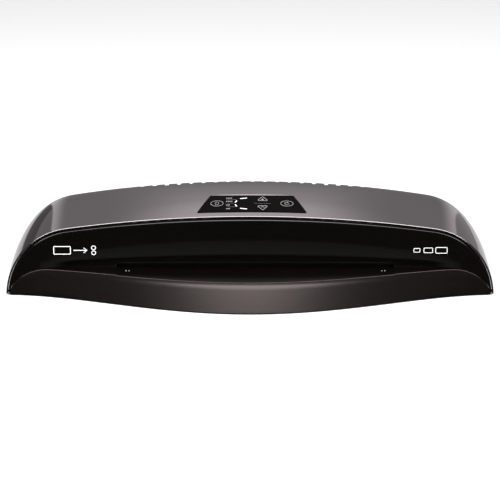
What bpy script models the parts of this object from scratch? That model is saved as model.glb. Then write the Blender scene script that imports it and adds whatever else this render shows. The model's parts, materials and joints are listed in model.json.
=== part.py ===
"""A3 pouch laminator: arched cover, black fascia, base with a bowed feed shelf, and the roller chassis.

Units are metres. +X is to the right of a person at the feed slot, -Y points at that person, +Z is up.
The origin is on the table, under the middle of the machine's bounding box.
"""

import math

import bmesh
import bpy
from mathutils import Matrix, Vector

MM = 0.001
GAP = 0.3 * MM                      # clearance between touching pieces

# ---- casing: the front arch is a crown arc that runs into two shoulder arcs ----
HALF_WIDTH = 280 * MM
LIP_HEIGHT = 93.8 * MM
CROWN_RADIUS = 1540 * MM
SHOULDER_RADIUS = 81 * MM
LEAN = math.radians(8)              # the fascia leans back
FRONT_Y = -25 * MM                  # foot of the leaning fascia plane
RIDGE_Y = 50 * MM
RIDGE_HEIGHT = 110 * MM
REAR_Y = 75 * MM
REAR_EDGE_HEIGHT = 60 * MM
REAR_TAPER = 0.05                   # the cover is this share narrower at the back
COVER_WALL = 2.4 * MM
COVER_BOTTOM = 2.4 * MM
CROWN_SHARE = 0.42                  # share of the arch's steps spent on the crown
RIDGE_SHARE = 0.55                  # share of the depth's steps in front of the ridge

# ---- base ----
BASE_BOTTOM = 1.2 * MM
BASE_WALL = 2.4 * MM
BASE_HALF = 274 * MM
SHELF_HEIGHT = 32 * MM
SHELF_HALF = 228 * MM               # the shelf is level to here, then the wall dips to the corner
WING_LENGTH = 48 * MM
BOW_DEPTH = 50 * MM                 # how far the front wall bows out ahead of its ends
FLOOR_TOP = BASE_BOTTOM + BASE_WALL

# ---- pouch path ----
THROAT_X = 6 * MM                   # the pouch slot sits a little right of the middle
SLOT_HALF = 158.5 * MM
SLOT_TOP = 37.7 * MM
PATH_Z = 35 * MM
NIP_GAP = GAP

# ---- rollers and gears ----
HOT_Y = 10 * MM
HOT_RADIUS = 12.5 * MM
PULL_Y = 44 * MM
PULL_RADIUS = 10 * MM
SLEEVE_HALF = 160 * MM
CORE_RADIUS = 5 * MM
JOURNAL_RADIUS = 4 * MM
GEAR_MODULE = 1 * MM
HOT_TEETH = 25
PULL_TEETH = 20
IDLER_TEETH = 16
PINION_TEETH = 10
GEAR_X = 182 * MM
GEAR_WIDTH = 6 * MM
PLATE_HALF = 168 * MM               # side plates stand this far either side of the throat's middle
PLATE_THICKNESS = 2 * MM
PLATE_TOP = 76 * MM
BLOCK_WIDTH = 12 * MM
BLOCK_HEIGHT = 14 * MM

# ---- control panel ----
PANEL_X = 2.2 * MM
PANEL_FRONT_Y = -5.3 * MM
PANEL_REAR_Y = 21.5 * MM
PANEL_FRONT_HALF = 62.5 * MM
PANEL_REAR_HALF = 47 * MM
PANEL_THICKNESS = 2 * MM
BUTTON_TRAVEL = 0.6 * MM

OBJECT_NAME = "pouch_laminator"


# ------------------------------------------------------------------ scene and materials
def clear_scene():
    for old in list(bpy.data.objects):
        bpy.data.objects.remove(old, do_unlink=True)
    for collection in list(bpy.data.collections):
        bpy.data.collections.remove(collection)


clear_scene()
PARTS = bpy.data.collections.new(OBJECT_NAME)
CUTTERS = bpy.data.collections.new("cutters")
bpy.context.scene.collection.children.link(PARTS)
bpy.context.scene.collection.children.link(CUTTERS)


def material(name, colour, roughness, metallic=0.0):
    made = bpy.data.materials.new(name)
    made.use_nodes = True
    shader = made.node_tree.nodes["Principled BSDF"]
    shader.inputs["Base Color"].default_value = (*colour, 1)
    shader.inputs["Roughness"].default_value = roughness
    shader.inputs["Metallic"].default_value = metallic
    return made


GUNMETAL = material("gunmetal_gloss", (0.19, 0.175, 0.18), 0.25, 0.6)
PIANO_BLACK = material("piano_black", (0.006, 0.006, 0.006), 0.08)
CHARCOAL = material("charcoal_plastic", (0.018, 0.016, 0.016), 0.55)
BUTTON_BLACK = material("button_black", (0.01, 0.01, 0.01), 0.2)
LENS_WHITE = material("lens_white", (0.8, 0.8, 0.78), 0.3)
STEEL_SHEET = material("steel_sheet", (0.5, 0.5, 0.52), 0.35, 1.0)
STEEL_ROD = material("steel_rod", (0.6, 0.6, 0.62), 0.2, 1.0)
ALUMINIUM = material("aluminium_shoe", (0.7, 0.7, 0.72), 0.35, 1.0)
SILICONE = material("silicone_rubber", (0.03, 0.03, 0.032), 0.6)
NYLON = material("nylon_natural", (0.75, 0.73, 0.66), 0.5)
BOARD_GREEN = material("board_green", (0.02, 0.12, 0.05), 0.4)
FOOT_RUBBER = material("foot_rubber", (0.02, 0.02, 0.02), 0.8)


# ------------------------------------------------------------------ modelling helpers
def add_object(name, mesh, finish=None):
    made = bpy.data.objects.new(name, mesh)
    if finish is None:
        made.hide_render = True
        made.display_type = "WIRE"
        CUTTERS.objects.link(made)
        return made
    mesh.materials.clear()
    mesh.materials.append(finish)
    mesh.shade_smooth()
    mesh.set_sharp_from_angle(angle=math.radians(30))
    PARTS.objects.link(made)
    return made


def cut(target, *cutters):
    """Takes each cutter's solid out of the target."""
    for cutter in cutters:
        boolean = target.modifiers.new("cut_" + cutter.name, "BOOLEAN")
        boolean.operation = "DIFFERENCE"
        boolean.solver = "EXACT"
        boolean.object = cutter
    return target


def join(target, *others):
    """Adds each other solid to the target, as one body."""
    for other in others:
        boolean = target.modifiers.new("join_" + other.name, "BOOLEAN")
        boolean.operation = "UNION"
        boolean.solver = "EXACT"
        boolean.object = other
    return target


def box(name, size, centre, finish=None):
    shape = bmesh.new()
    bmesh.ops.create_cube(shape, size=1)
    bmesh.ops.scale(shape, vec=Vector(size), verts=shape.verts)
    mesh = bpy.data.meshes.new(name)
    shape.to_mesh(mesh)
    shape.free()
    made = add_object(name, mesh, finish)
    made.location = centre
    return made


def rod_along_x(name, radius, x_low, x_high, y, z, finish=None, sides=24):
    shape = bmesh.new()
    bmesh.ops.create_cone(shape, cap_ends=True, segments=sides, radius1=radius, radius2=radius,
                          depth=x_high - x_low)
    mesh = bpy.data.meshes.new(name)
    shape.to_mesh(mesh)
    shape.free()
    made = add_object(name, mesh, finish)
    made.rotation_euler = (0, math.pi / 2, 0)
    made.location = ((x_low + x_high) / 2, y, z)
    return made


def turned(name, profile, place, rotation, finish=None, sides=24, closed=False):
    """A turned piece: the profile's (radius, height) points run down its outer side, top to bottom."""
    shape = bmesh.new()
    verts = [shape.verts.new((radius, 0, height)) for radius, height in profile]
    for first, second in zip(verts, verts[1:]):
        shape.edges.new((first, second))
    if closed:
        shape.edges.new((verts[-1], verts[0]))
    mesh = bpy.data.meshes.new(name)
    shape.to_mesh(mesh)
    shape.free()
    made = add_object(name, mesh, finish)
    screw = made.modifiers.new("turn", "SCREW")
    screw.steps = sides
    screw.render_steps = sides
    screw.use_merge_vertices = True
    screw.merge_threshold = 0.00001
    made.rotation_euler = rotation
    made.location = place
    return made


ALONG_X = (0, math.pi / 2, 0)       # local +Z points along +X
ALONG_Y = (-math.pi / 2, 0, 0)      # local +Z points along +Y
FACING_X = (math.pi / 2, 0, math.pi / 2)   # local X, Y, Z lie along world Y, Z, X


def outline_solid(name, loops, thickness, place, rotation, finish=None):
    """A flat plate: the first loop is its edge, the others are holes. The plate is centred on its plane."""
    curve = bpy.data.curves.new(name, "CURVE")
    curve.dimensions = "2D"
    curve.fill_mode = "BOTH"
    curve.extrude = thickness / 2
    for loop in loops:
        spline = curve.splines.new("POLY")
        spline.points.add(len(loop) - 1)
        for point, (x, y) in zip(spline.points, loop):
            point.co = (x, y, 0, 1)
        spline.use_cyclic_u = True
    drawn = bpy.data.objects.new(name + "_outline", curve)
    PARTS.objects.link(drawn)
    drawn.rotation_euler = rotation
    drawn.location = place
    bpy.context.view_layer.update()
    mesh = bpy.data.meshes.new_from_object(drawn.evaluated_get(bpy.context.evaluated_depsgraph_get()))
    shape = bmesh.new()
    shape.from_mesh(mesh)
    bmesh.ops.remove_doubles(shape, verts=shape.verts, dist=0.00001)
    shape.to_mesh(mesh)
    shape.free()
    made = add_object(name, mesh, finish)
    made.matrix_world = drawn.matrix_world
    bpy.data.objects.remove(drawn, do_unlink=True)
    return made


def circle(radius, sides=24, centre=(0, 0)):
    angles = [math.tau * i / sides for i in range(sides)]
    return [(centre[0] + radius * math.cos(a), centre[1] + radius * math.sin(a)) for a in angles]


def rectangle(left, right, low, high):
    return [(left, low), (right, low), (right, high), (left, high)]


# ------------------------------------------------------------------ the casing's surface
CROWN_ANGLE = math.asin((HALF_WIDTH - SHOULDER_RADIUS) / (CROWN_RADIUS - SHOULDER_RADIUS))
SHOULDER_X = HALF_WIDTH - SHOULDER_RADIUS
SHOULDER_Z = LIP_HEIGHT - CROWN_RADIUS + (CROWN_RADIUS - SHOULDER_RADIUS) * math.cos(CROWN_ANGLE)
LIP_Y = FRONT_Y + math.tan(LEAN) * LIP_HEIGHT


def arch_point(share, inset=0.0, bottom=COVER_BOTTOM):
    """(x, z) on the front arch. Share runs from 0 at the middle to 1 at the right foot."""
    radius = SHOULDER_RADIUS - inset
    if share <= CROWN_SHARE:
        angle = CROWN_ANGLE * share / CROWN_SHARE
        crown = CROWN_RADIUS - inset
        return crown * math.sin(angle), LIP_HEIGHT - CROWN_RADIUS + crown * math.cos(angle)
    foot = math.acos((bottom - SHOULDER_Z) / radius)
    angle = CROWN_ANGLE + (foot - CROWN_ANGLE) * (share - CROWN_SHARE) / (1 - CROWN_SHARE)
    return SHOULDER_X + radius * math.sin(angle), SHOULDER_Z + radius * math.cos(angle)


BEND_Y = LIP_Y + 0.62 * (RIDGE_Y - LIP_Y)    # the slope's tangents at the lip and at the ridge cross here


def middle_section(t):
    """(y, z) along the cover's middle: a slope from the lip up to the ridge, then a quarter ellipse down."""
    if t <= RIDGE_SHARE:
        s = t / RIDGE_SHARE
        y = (1 - s) ** 2 * LIP_Y + 2 * s * (1 - s) * BEND_Y + s * s * RIDGE_Y
        z = (1 - s) ** 2 * LIP_HEIGHT + (1 - (1 - s) ** 2) * RIDGE_HEIGHT
        return y, z
    angle = math.pi / 2 * (t - RIDGE_SHARE) / (1 - RIDGE_SHARE)
    y = RIDGE_Y + (REAR_Y - RIDGE_Y) * math.sin(angle)
    z = REAR_EDGE_HEIGHT + (RIDGE_HEIGHT - REAR_EDGE_HEIGHT) * math.cos(angle)
    return y, z


def narrowing(share_of_depth):
    return 1 - REAR_TAPER * share_of_depth ** 3


def cover_point(u, t):
    """The cover's outer surface: u runs across from the middle to the right foot, t from lip to rear edge."""
    x, arch_z = arch_point(u)
    y_middle, z_middle = middle_section(t)
    lip_y = FRONT_Y + math.tan(LEAN) * arch_z
    y = lip_y + (y_middle - LIP_Y) * (REAR_Y - lip_y) / (REAR_Y - LIP_Y)
    depth = (y - lip_y) / (REAR_Y - lip_y)
    return Vector((x * narrowing(depth), y, arch_z * z_middle / LIP_HEIGHT))


def slope_height(x, y):
    """Height of the cover's outer surface over a place on the front slope of the crown."""
    arch_z = LIP_HEIGHT - CROWN_RADIUS + math.sqrt(CROWN_RADIUS ** 2 - x ** 2)
    lip_y = FRONT_Y + math.tan(LEAN) * arch_z
    y_middle = LIP_Y + (y - lip_y) * (REAR_Y - LIP_Y) / (REAR_Y - lip_y)
    a = LIP_Y - 2 * BEND_Y + RIDGE_Y
    b = 2 * (BEND_Y - LIP_Y)
    s = (-b + math.sqrt(b * b + 4 * a * (y_middle - LIP_Y))) / (2 * a)
    z_middle = (1 - s) ** 2 * LIP_HEIGHT + (1 - (1 - s) ** 2) * RIDGE_HEIGHT
    return arch_z * z_middle / LIP_HEIGHT


def grid_surface(name, columns, rows, place_point, finish):
    """An open sheet: a flat grid, each point put where place_point(u, v) says, u and v from 0 to 1."""
    shape = bmesh.new()
    bmesh.ops.create_grid(shape, x_segments=columns, y_segments=rows, size=1)
    for vert in shape.verts:
        vert.co = place_point((vert.co.x + 1) / 2, (vert.co.y + 1) / 2)
    mesh = bpy.data.meshes.new(name)
    shape.to_mesh(mesh)
    shape.free()
    return add_object(name, mesh, finish)


def thicken(target, thickness):
    solid = target.modifiers.new("wall", "SOLIDIFY")
    solid.thickness = thickness
    solid.offset = -1
    solid.use_even_offset = True
    return target


# ------------------------------------------------------------------ panel plane
PANEL_MID_Y = (PANEL_FRONT_Y + PANEL_REAR_Y) / 2
PANEL_RISE = slope_height(0, PANEL_REAR_Y) - slope_height(0, PANEL_FRONT_Y)
PANEL_TILT = math.atan2(PANEL_RISE, PANEL_REAR_Y - PANEL_FRONT_Y)
PANEL_NORMAL = Vector((0, -math.sin(PANEL_TILT), math.cos(PANEL_TILT)))


def on_panel(x, up, depth=0.0):
    """A place x right of the panel's middle and up its slope, sunk by depth below the cover."""
    y = PANEL_MID_Y + up * math.cos(PANEL_TILT)
    world_x = PANEL_X + x
    return Vector((world_x, y, slope_height(world_x, y))) - PANEL_NORMAL * depth


def panel_corners(margin):
    half_depth = (PANEL_REAR_Y - PANEL_FRONT_Y) / 2 / math.cos(PANEL_TILT)
    return [
        (-PANEL_FRONT_HALF - margin, -half_depth - margin),
        (PANEL_FRONT_HALF + margin, -half_depth - margin),
        (PANEL_REAR_HALF + margin, half_depth + margin),
        (-PANEL_REAR_HALF - margin, half_depth + margin),
    ]


# ------------------------------------------------------------------ casing
VENT_COUNT = 21
VENT_PITCH = 14.2 * MM
VENT_MIDDLE = 3 * MM                # the row of vents sits a little right of the middle
VENT_SIZE = (5 * MM, 31.5 * MM, 16 * MM)
VENT_TILT = math.radians(-48)
VENT_Y = 64.5 * MM
VENT_Z = 100.8 * MM


def make_vent_cutter():
    vents = box("vent_cutter", VENT_SIZE, (0, 0, 0))
    row = vents.modifiers.new("row", "ARRAY")
    row.count = VENT_COUNT
    row.use_relative_offset = False
    row.use_constant_offset = True
    row.constant_offset_displace = (VENT_PITCH, 0, 0)
    vents.rotation_euler = (VENT_TILT, 0, 0)
    vents.location = (VENT_MIDDLE - VENT_PITCH * (VENT_COUNT - 1) / 2, VENT_Y, VENT_Z)
    return vents


def make_top_cover():
    cover = grid_surface("top_cover", 20, 13, cover_point, GUNMETAL)
    mirror = cover.modifiers.new("both_halves", "MIRROR")
    mirror.merge_threshold = 0.0001
    thicken(cover, COVER_WALL)
    pocket = outline_solid("panel_pocket_cutter", [panel_corners(2 * GAP)], 20 * MM, on_panel(0, 0),
                           (PANEL_TILT, 0, 0))
    return cut(cover, pocket, make_vent_cutter())


FASCIA_THICKNESS = 2.5 * MM
FASCIA_INSET_TOP = 3.9 * MM
FASCIA_INSET_FOOT = 2.9 * MM
FASCIA_FOOT = 4 * MM
SEAM = 0.45 * MM                    # gap between the fascia and the shelf


def wing_height(x):
    """Height of the shelf's edge: level in the middle, then a quarter ellipse down to the corner."""
    past = max(0.0, abs(x) - SHELF_HALF) / WING_LENGTH
    return SHELF_HEIGHT * math.sqrt(max(0.0, 1 - past * past))


def make_front_fascia():
    steps = 26
    arch = []
    for i in range(steps + 1):
        share = i / steps
        inset = FASCIA_INSET_TOP + (FASCIA_INSET_FOOT - FASCIA_INSET_TOP) * share
        arch.append(arch_point(share, inset, FASCIA_FOOT))
    outer = arch[::-1] + [(-x, z) for x, z in arch[1:]]
    low = SHELF_HEIGHT + SEAM
    reach = WING_LENGTH + SEAM
    foot_angle = math.asin(FASCIA_FOOT / low)
    wing_steps = 14
    wing = []
    for i in range(wing_steps + 1):
        angle = foot_angle + (math.pi / 2 - foot_angle) * i / wing_steps
        wing.append((SHELF_HALF + reach * math.cos(angle), low * math.sin(angle)))
    left = [(-x, z) for x, z in wing]
    right = wing[::-1]
    slot_left = THROAT_X - SLOT_HALF
    slot_right = THROAT_X + SLOT_HALF
    slot = [(slot_left, low), (slot_left, SLOT_TOP), (slot_right, SLOT_TOP), (slot_right, low)]
    edge = [(x, z / math.cos(LEAN)) for x, z in outer + left + slot + right]
    tilt = math.pi / 2 - LEAN
    outward = Vector((0, -math.sin(tilt), math.cos(tilt)))
    place = Vector((0, FRONT_Y, 0)) - outward * FASCIA_THICKNESS / 2
    return outline_solid("front_fascia", [edge], FASCIA_THICKNESS, place, (tilt, 0, 0), PIANO_BLACK)


SHELF_REAR_Y = -15 * MM
BASE_REAR_Y = 69.2 * MM
BASE_REAR_HALF = 261 * MM
BASE_REAR_LIP = 12 * MM
CHANNEL_DEPTH = 0.8 * MM
WALL_LEAN = 6.5 * MM                # the front wall leans back by this much everywhere
WALL_SLOPE = 0.25                   # and by this share of the bow's depth on top of it
RIB_HEIGHT = 8 * MM
FOOT_RADIUS = 8 * MM
FOOT_PLACES = [(-150 * MM, -36 * MM), (150 * MM, -36 * MM), (-225 * MM, 52 * MM), (225 * MM, 52 * MM)]


def bow_y(x):
    """Foot of the bowed front wall."""
    u = x / HALF_WIDTH
    return FRONT_Y - BOW_DEPTH + BOW_DEPTH * (2 * u ** 2 - u ** 4)


def base_point(u, v):
    """The base's outer sheet: u runs right to left, v along the shelf, front wall, floor and rear lip."""
    x = BASE_HALF * (1 - 2 * u)
    top = wing_height(x)
    foot_y = bow_y(x)
    edge_y = foot_y + WALL_LEAN + WALL_SLOPE * (FRONT_Y + 1 * MM - foot_y)
    edge_y = min(edge_y, FRONT_Y + math.tan(LEAN) * top)
    rear_x = x * BASE_REAR_HALF / BASE_HALF
    stations = [
        (x, SHELF_REAR_Y, top),
        (x, edge_y, top),
        (x, foot_y, BASE_BOTTOM),
        (rear_x, BASE_REAR_Y, BASE_BOTTOM),
        (rear_x, BASE_REAR_Y, BASE_REAR_LIP),
    ]
    return Vector(stations[round(v * (len(stations) - 1))])


def make_base_shell():
    base = grid_surface("base_shell", 44, 4, base_point, CHARCOAL)
    thicken(base, BASE_WALL)
    for side, word in ((-1, "left"), (1, "right")):
        front = Vector((side * (BASE_HALF - 1.2 * MM), -14 * MM, 0))
        rear = Vector((side * (BASE_REAR_HALF - 1.2 * MM), BASE_REAR_Y - 1 * MM, 0))
        middle = (front + rear) / 2
        rib = box(word + "_rib", (2 * MM, (rear - front).length, RIB_HEIGHT),
                  (middle.x, middle.y, BASE_BOTTOM + 0.4 * MM + RIB_HEIGHT / 2))
        rib.rotation_euler.z = math.atan2(front.x - rear.x, rear.y - front.y)
        join(base, rib)
    for number, (x, y) in enumerate(FOOT_PLACES, 1):
        recess = outline_solid(f"foot_recess_{number}", [circle(FOOT_RADIUS + GAP)], 2 * MM,
                               (x, y, BASE_BOTTOM), (0, 0, 0))
        cut(base, recess)
    channel = box("channel_cutter", (2 * SLOT_HALF, 60 * MM, 2 * CHANNEL_DEPTH),
                  (THROAT_X, SHELF_REAR_Y - 28 * MM, SHELF_HEIGHT))
    return cut(base, channel)


def make_feet():
    for number, (x, y) in enumerate(FOOT_PLACES, 1):
        profile = [(0, 1.9 * MM), (FOOT_RADIUS, 1.9 * MM), (FOOT_RADIUS, 0.6 * MM),
                   (FOOT_RADIUS - 0.8 * MM, 0), (0, 0)]
        turned(f"foot_{number}", profile, (x, y, 0), (0, 0, 0), FOOT_RUBBER, sides=20)


REAR_PANEL_THICKNESS = 2.4 * MM
REAR_PANEL_Y = 69.6 * MM              # inner face
REAR_PANEL_BOTTOM = 2 * MM
REAR_PANEL_REACH = 2 * MM           # how far it tucks up behind the cover's rear edge
REAR_PANEL_INSET = 3.2 * MM
REAR_VENT_COUNT = 12
REAR_VENT_PITCH = 14 * MM
REAR_VENT_HALF = 2 * MM
REAR_VENT_LOW = 14 * MM
REAR_VENT_HIGH = 26 * MM
SWITCH_X = -222 * MM
SWITCH_Z = 20 * MM
HOUSING_HALF_X = 9.5 * MM
HOUSING_HALF_Z = 7 * MM
GLAND_X = 238 * MM
GLAND_Z = 22 * MM
GLAND_NECK = 6 * MM


def make_rear_panel():
    steps = 20
    rise = (REAR_EDGE_HEIGHT + REAR_PANEL_REACH) / LIP_HEIGHT
    arch = []
    for i in range(steps + 1):
        x, z = arch_point(i / steps)
        arch.append((x * narrowing(1) - REAR_PANEL_INSET * i / steps, max(z * rise, REAR_PANEL_BOTTOM)))
    edge = arch[::-1] + [(-x, z) for x, z in arch[1:]]
    slot = rectangle(THROAT_X - SLOT_HALF, THROAT_X + SLOT_HALF, SHELF_HEIGHT + GAP, SLOT_TOP + GAP)
    half_x = HOUSING_HALF_X + GAP
    half_z = HOUSING_HALF_Z + GAP
    switch = rectangle(SWITCH_X - half_x, SWITCH_X + half_x, SWITCH_Z - half_z, SWITCH_Z + half_z)
    gland = circle(GLAND_NECK + GAP, 20, (GLAND_X, GLAND_Z))
    vents = []
    for i in range(REAR_VENT_COUNT):
        x = THROAT_X + REAR_VENT_PITCH * (i - (REAR_VENT_COUNT - 1) / 2)
        vents.append(rectangle(x - REAR_VENT_HALF, x + REAR_VENT_HALF, REAR_VENT_LOW, REAR_VENT_HIGH))
    place = (0, REAR_PANEL_Y + REAR_PANEL_THICKNESS / 2, 0)
    return outline_solid("rear_panel", [edge, slot, switch, gland] + vents, REAR_PANEL_THICKNESS, place,
                         (math.pi / 2, 0, 0), CHARCOAL)


# ------------------------------------------------------------------ control panel
BUTTON_GAP = 0.35 * MM
OVAL_SIZE = (7.5 * MM, 4.9 * MM)    # half width, half height
OVAL_OFFSET = 40 * MM
ARROW_X = 12.2 * MM
ARROW_HALF = 6.9 * MM
ARROW_HEIGHT = 6.9 * MM
ARROW_MIDDLE = 7.4 * MM             # up and down arrows stand this far either side of the middle line
ARC_X = -7.6 * MM
ARC_RADII = (11.5 * MM, 8.8 * MM)
BAR_ANGLES = [math.radians(a) for a in (107, 158, 202, 253)]
BAR_SIZE = (6.4 * MM, 1.5 * MM)
PANEL_SINK = 0.2 * MM
CUTTER_TOP = -3 * MM                # cutters start this far above the panel
CUTTER_LENGTH = 8 * MM
BUTTON_TOP = -0.3 * MM              # the buttons stand proud of the cover's surface
BUTTON_HEIGHT = 4 * MM
FLANGE_MARGIN = 1 * MM
FLANGE_DEPTH = PANEL_THICKNESS + BUTTON_TRAVEL + 0.1 * MM


def oval(margin=0.0):
    return [((OVAL_SIZE[0] + margin) * x, (OVAL_SIZE[1] + margin) * y) for x, y in circle(1, 20)]


def arrow(pointing, margin=0.0):
    """A flat triangle with clipped corners. Pointing is 1 for up and -1 for down."""
    half = ARROW_HALF + 1.9 * margin
    tall = ARROW_HEIGHT / 2
    clip = 1.2 * MM
    points = [
        (-half, -tall - margin),
        (half, -tall - margin),
        (half, -tall - margin + clip * 0.6),
        (clip, tall + margin),
        (-clip, tall + margin),
        (-half, -tall - margin + clip * 0.6),
    ]
    if pointing < 0:
        points = [(x, -y) for x, y in reversed(points)]
    return points


BUTTONS = {
    "power_button": (oval, (-OVAL_OFFSET, 0)),
    "reverse_button": (oval, (OVAL_OFFSET, 0)),
    "up_button": (lambda margin=0.0: arrow(1, margin), (ARROW_X, ARROW_MIDDLE)),
    "down_button": (lambda margin=0.0: arrow(-1, margin), (ARROW_X, -ARROW_MIDDLE)),
}


def panel_plate(name, loop, x, up, depth, thickness, finish=None):
    """A flat piece parallel to the panel, its top sunk by depth below the cover's surface."""
    place = on_panel(x, up, depth + thickness / 2)
    return outline_solid(name, [loop], thickness, place, (PANEL_TILT, 0, 0), finish)


def bar_loops(margin):
    """Outline of each indicator bar. The bars lie along an arc that opens to the right."""
    half_length = BAR_SIZE[0] / 2 + margin
    half_width = BAR_SIZE[1] / 2 + margin
    found = []
    for angle in BAR_ANGLES:
        centre = (ARC_RADII[0] * math.cos(angle), ARC_RADII[1] * math.sin(angle))
        along = math.atan2(ARC_RADII[1] * math.cos(angle), -ARC_RADII[0] * math.sin(angle))
        turned_loop = [
            (centre[0] + px * math.cos(along) - py * math.sin(along),
             centre[1] + px * math.sin(along) + py * math.cos(along))
            for px, py in rectangle(-half_length, half_length, -half_width, half_width)
        ]
        found.append(turned_loop)
    return found


def make_control_panel():
    def point(u, v):
        y = PANEL_FRONT_Y + (PANEL_REAR_Y - PANEL_FRONT_Y) * v
        half = PANEL_FRONT_HALF + (PANEL_REAR_HALF - PANEL_FRONT_HALF) * v
        x = PANEL_X + half * (2 * u - 1)
        return Vector((x, y, slope_height(x, y))) - PANEL_NORMAL * PANEL_SINK

    panel = grid_surface("control_panel", 14, 4, point, PIANO_BLACK)
    thicken(panel, PANEL_THICKNESS)
    for name, (loop, (x, up)) in BUTTONS.items():
        cut(panel, panel_plate(name + "_cutter", loop(BUTTON_GAP), x, up, CUTTER_TOP, CUTTER_LENGTH))
    for number, loop in enumerate(bar_loops(BUTTON_GAP), 1):
        cut(panel, panel_plate(f"bar_cutter_{number}", loop, ARC_X, 0, CUTTER_TOP, CUTTER_LENGTH))
    return panel


def make_buttons():
    for name, (loop, (x, up)) in BUTTONS.items():
        button = panel_plate(name, loop(0), x, up, BUTTON_TOP, BUTTON_HEIGHT, BUTTON_BLACK)
        flange = panel_plate(name + "_flange", loop(FLANGE_MARGIN), x, up, FLANGE_DEPTH, 1 * MM)
        join(button, flange)


PIPE_LEFT = -14 * MM                # the pipe's backing plate, seen from the arc's centre
PIPE_RIGHT = 1 * MM
PIPE_HALF_UP = 11 * MM
PIPE_THICKNESS = 1.5 * MM
PIPE_DEPTH = PANEL_THICKNESS + 1.2 * MM
PIPE_SINK = 0.1 * MM


def make_light_pipe():
    backing = rectangle(PIPE_LEFT, PIPE_RIGHT, -PIPE_HALF_UP, PIPE_HALF_UP)
    pipe = panel_plate("indicator_light_pipe", backing, ARC_X, 0, PIPE_DEPTH, PIPE_THICKNESS, LENS_WHITE)
    for number, loop in enumerate(bar_loops(0), 1):
        join(pipe, panel_plate(f"pipe_bar_{number}", loop, ARC_X, 0, PIPE_SINK, PIPE_DEPTH + 0.2 * MM))
    return pipe


BOARD_DEPTH = 6.5 * MM
BOARD_THICKNESS = 1.6 * MM
BOARD_HALF_X = 52 * MM
BOARD_HALF_UP = 13 * MM
PAD_HALF = 2.5 * MM
PAD_HEIGHT = 1.2 * MM


def make_control_board():
    """The board under the panel, with a small tactile switch under each button."""
    loop = rectangle(-BOARD_HALF_X, BOARD_HALF_X, -BOARD_HALF_UP, BOARD_HALF_UP)
    board = panel_plate("control_board", loop, 0, 0, BOARD_DEPTH, BOARD_THICKNESS, BOARD_GREEN)
    pad = rectangle(-PAD_HALF, PAD_HALF, -PAD_HALF, PAD_HALF)
    for name, (_, (x, up)) in BUTTONS.items():
        join(board, panel_plate(name + "_switch", pad, x, up, BOARD_DEPTH - PAD_HEIGHT, 2 * PAD_HEIGHT))
    return board


# ------------------------------------------------------------------ chassis
PLATE_X = {"left": THROAT_X - PLATE_HALF, "right": THROAT_X + PLATE_HALF}
LOWER_HOT_Z = PATH_Z - NIP_GAP / 2 - HOT_RADIUS
UPPER_HOT_Z = PATH_Z + NIP_GAP / 2 + HOT_RADIUS
LOWER_PULL_Z = PATH_Z - NIP_GAP / 2 - PULL_RADIUS
UPPER_PULL_Z = PATH_Z + NIP_GAP / 2 + PULL_RADIUS
BUSH_RADIUS = 6 * MM
BUSH_BORE = JOURNAL_RADIUS + GAP
UPPER_AXES = {"hot": (HOT_Y, UPPER_HOT_Z), "pull": (PULL_Y, UPPER_PULL_Z)}
LOWER_AXES = {"hot": (HOT_Y, LOWER_HOT_Z), "pull": (PULL_Y, LOWER_PULL_Z)}
PLATE_FRONT_Y = -9 * MM
PLATE_REAR_Y = 63 * MM
SEAT_THICKNESS = 2 * MM
FLANGE_THICKNESS = 1.5 * MM
FOLD_OVERLAP = 0.5 * MM              # the folded edges reach this far past the sheet they grow from
TIE_RADIUS = 4 * MM
TIE_PLACES = {"front_tie_bar": (-3.5 * MM, 68 * MM), "rear_tie_bar": (57.5 * MM, 66 * MM)}

IDLER_ROOM = (HOT_TEETH + IDLER_TEETH) / 2 * GEAR_MODULE
PULL_ROOM = (PULL_TEETH + IDLER_TEETH) / 2 * GEAR_MODULE


def find_idler():
    """Centre of the idler: under the line between the lower hot and lower pull gears, in mesh with both."""
    start = Vector(LOWER_AXES["hot"])
    line = Vector(LOWER_AXES["pull"]) - start
    along = (IDLER_ROOM ** 2 - PULL_ROOM ** 2 + line.length ** 2) / (2 * line.length)
    drop = math.sqrt(IDLER_ROOM ** 2 - along ** 2)
    direction = line.normalized()
    return start + direction * along + Vector((direction.y, -direction.x)) * drop


IDLER = find_idler()
IDLER_ANGLE = math.atan2(IDLER.y - LOWER_HOT_Z, IDLER.x - HOT_Y)
PINION_ANGLE = math.radians(214)
PINION_ROOM = (HOT_TEETH + PINION_TEETH) / 2 * GEAR_MODULE
PINION = Vector((HOT_Y, LOWER_HOT_Z)) + Vector((math.cos(PINION_ANGLE), math.sin(PINION_ANGLE))) * PINION_ROOM
STUD_RADIUS = 3 * MM


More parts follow.
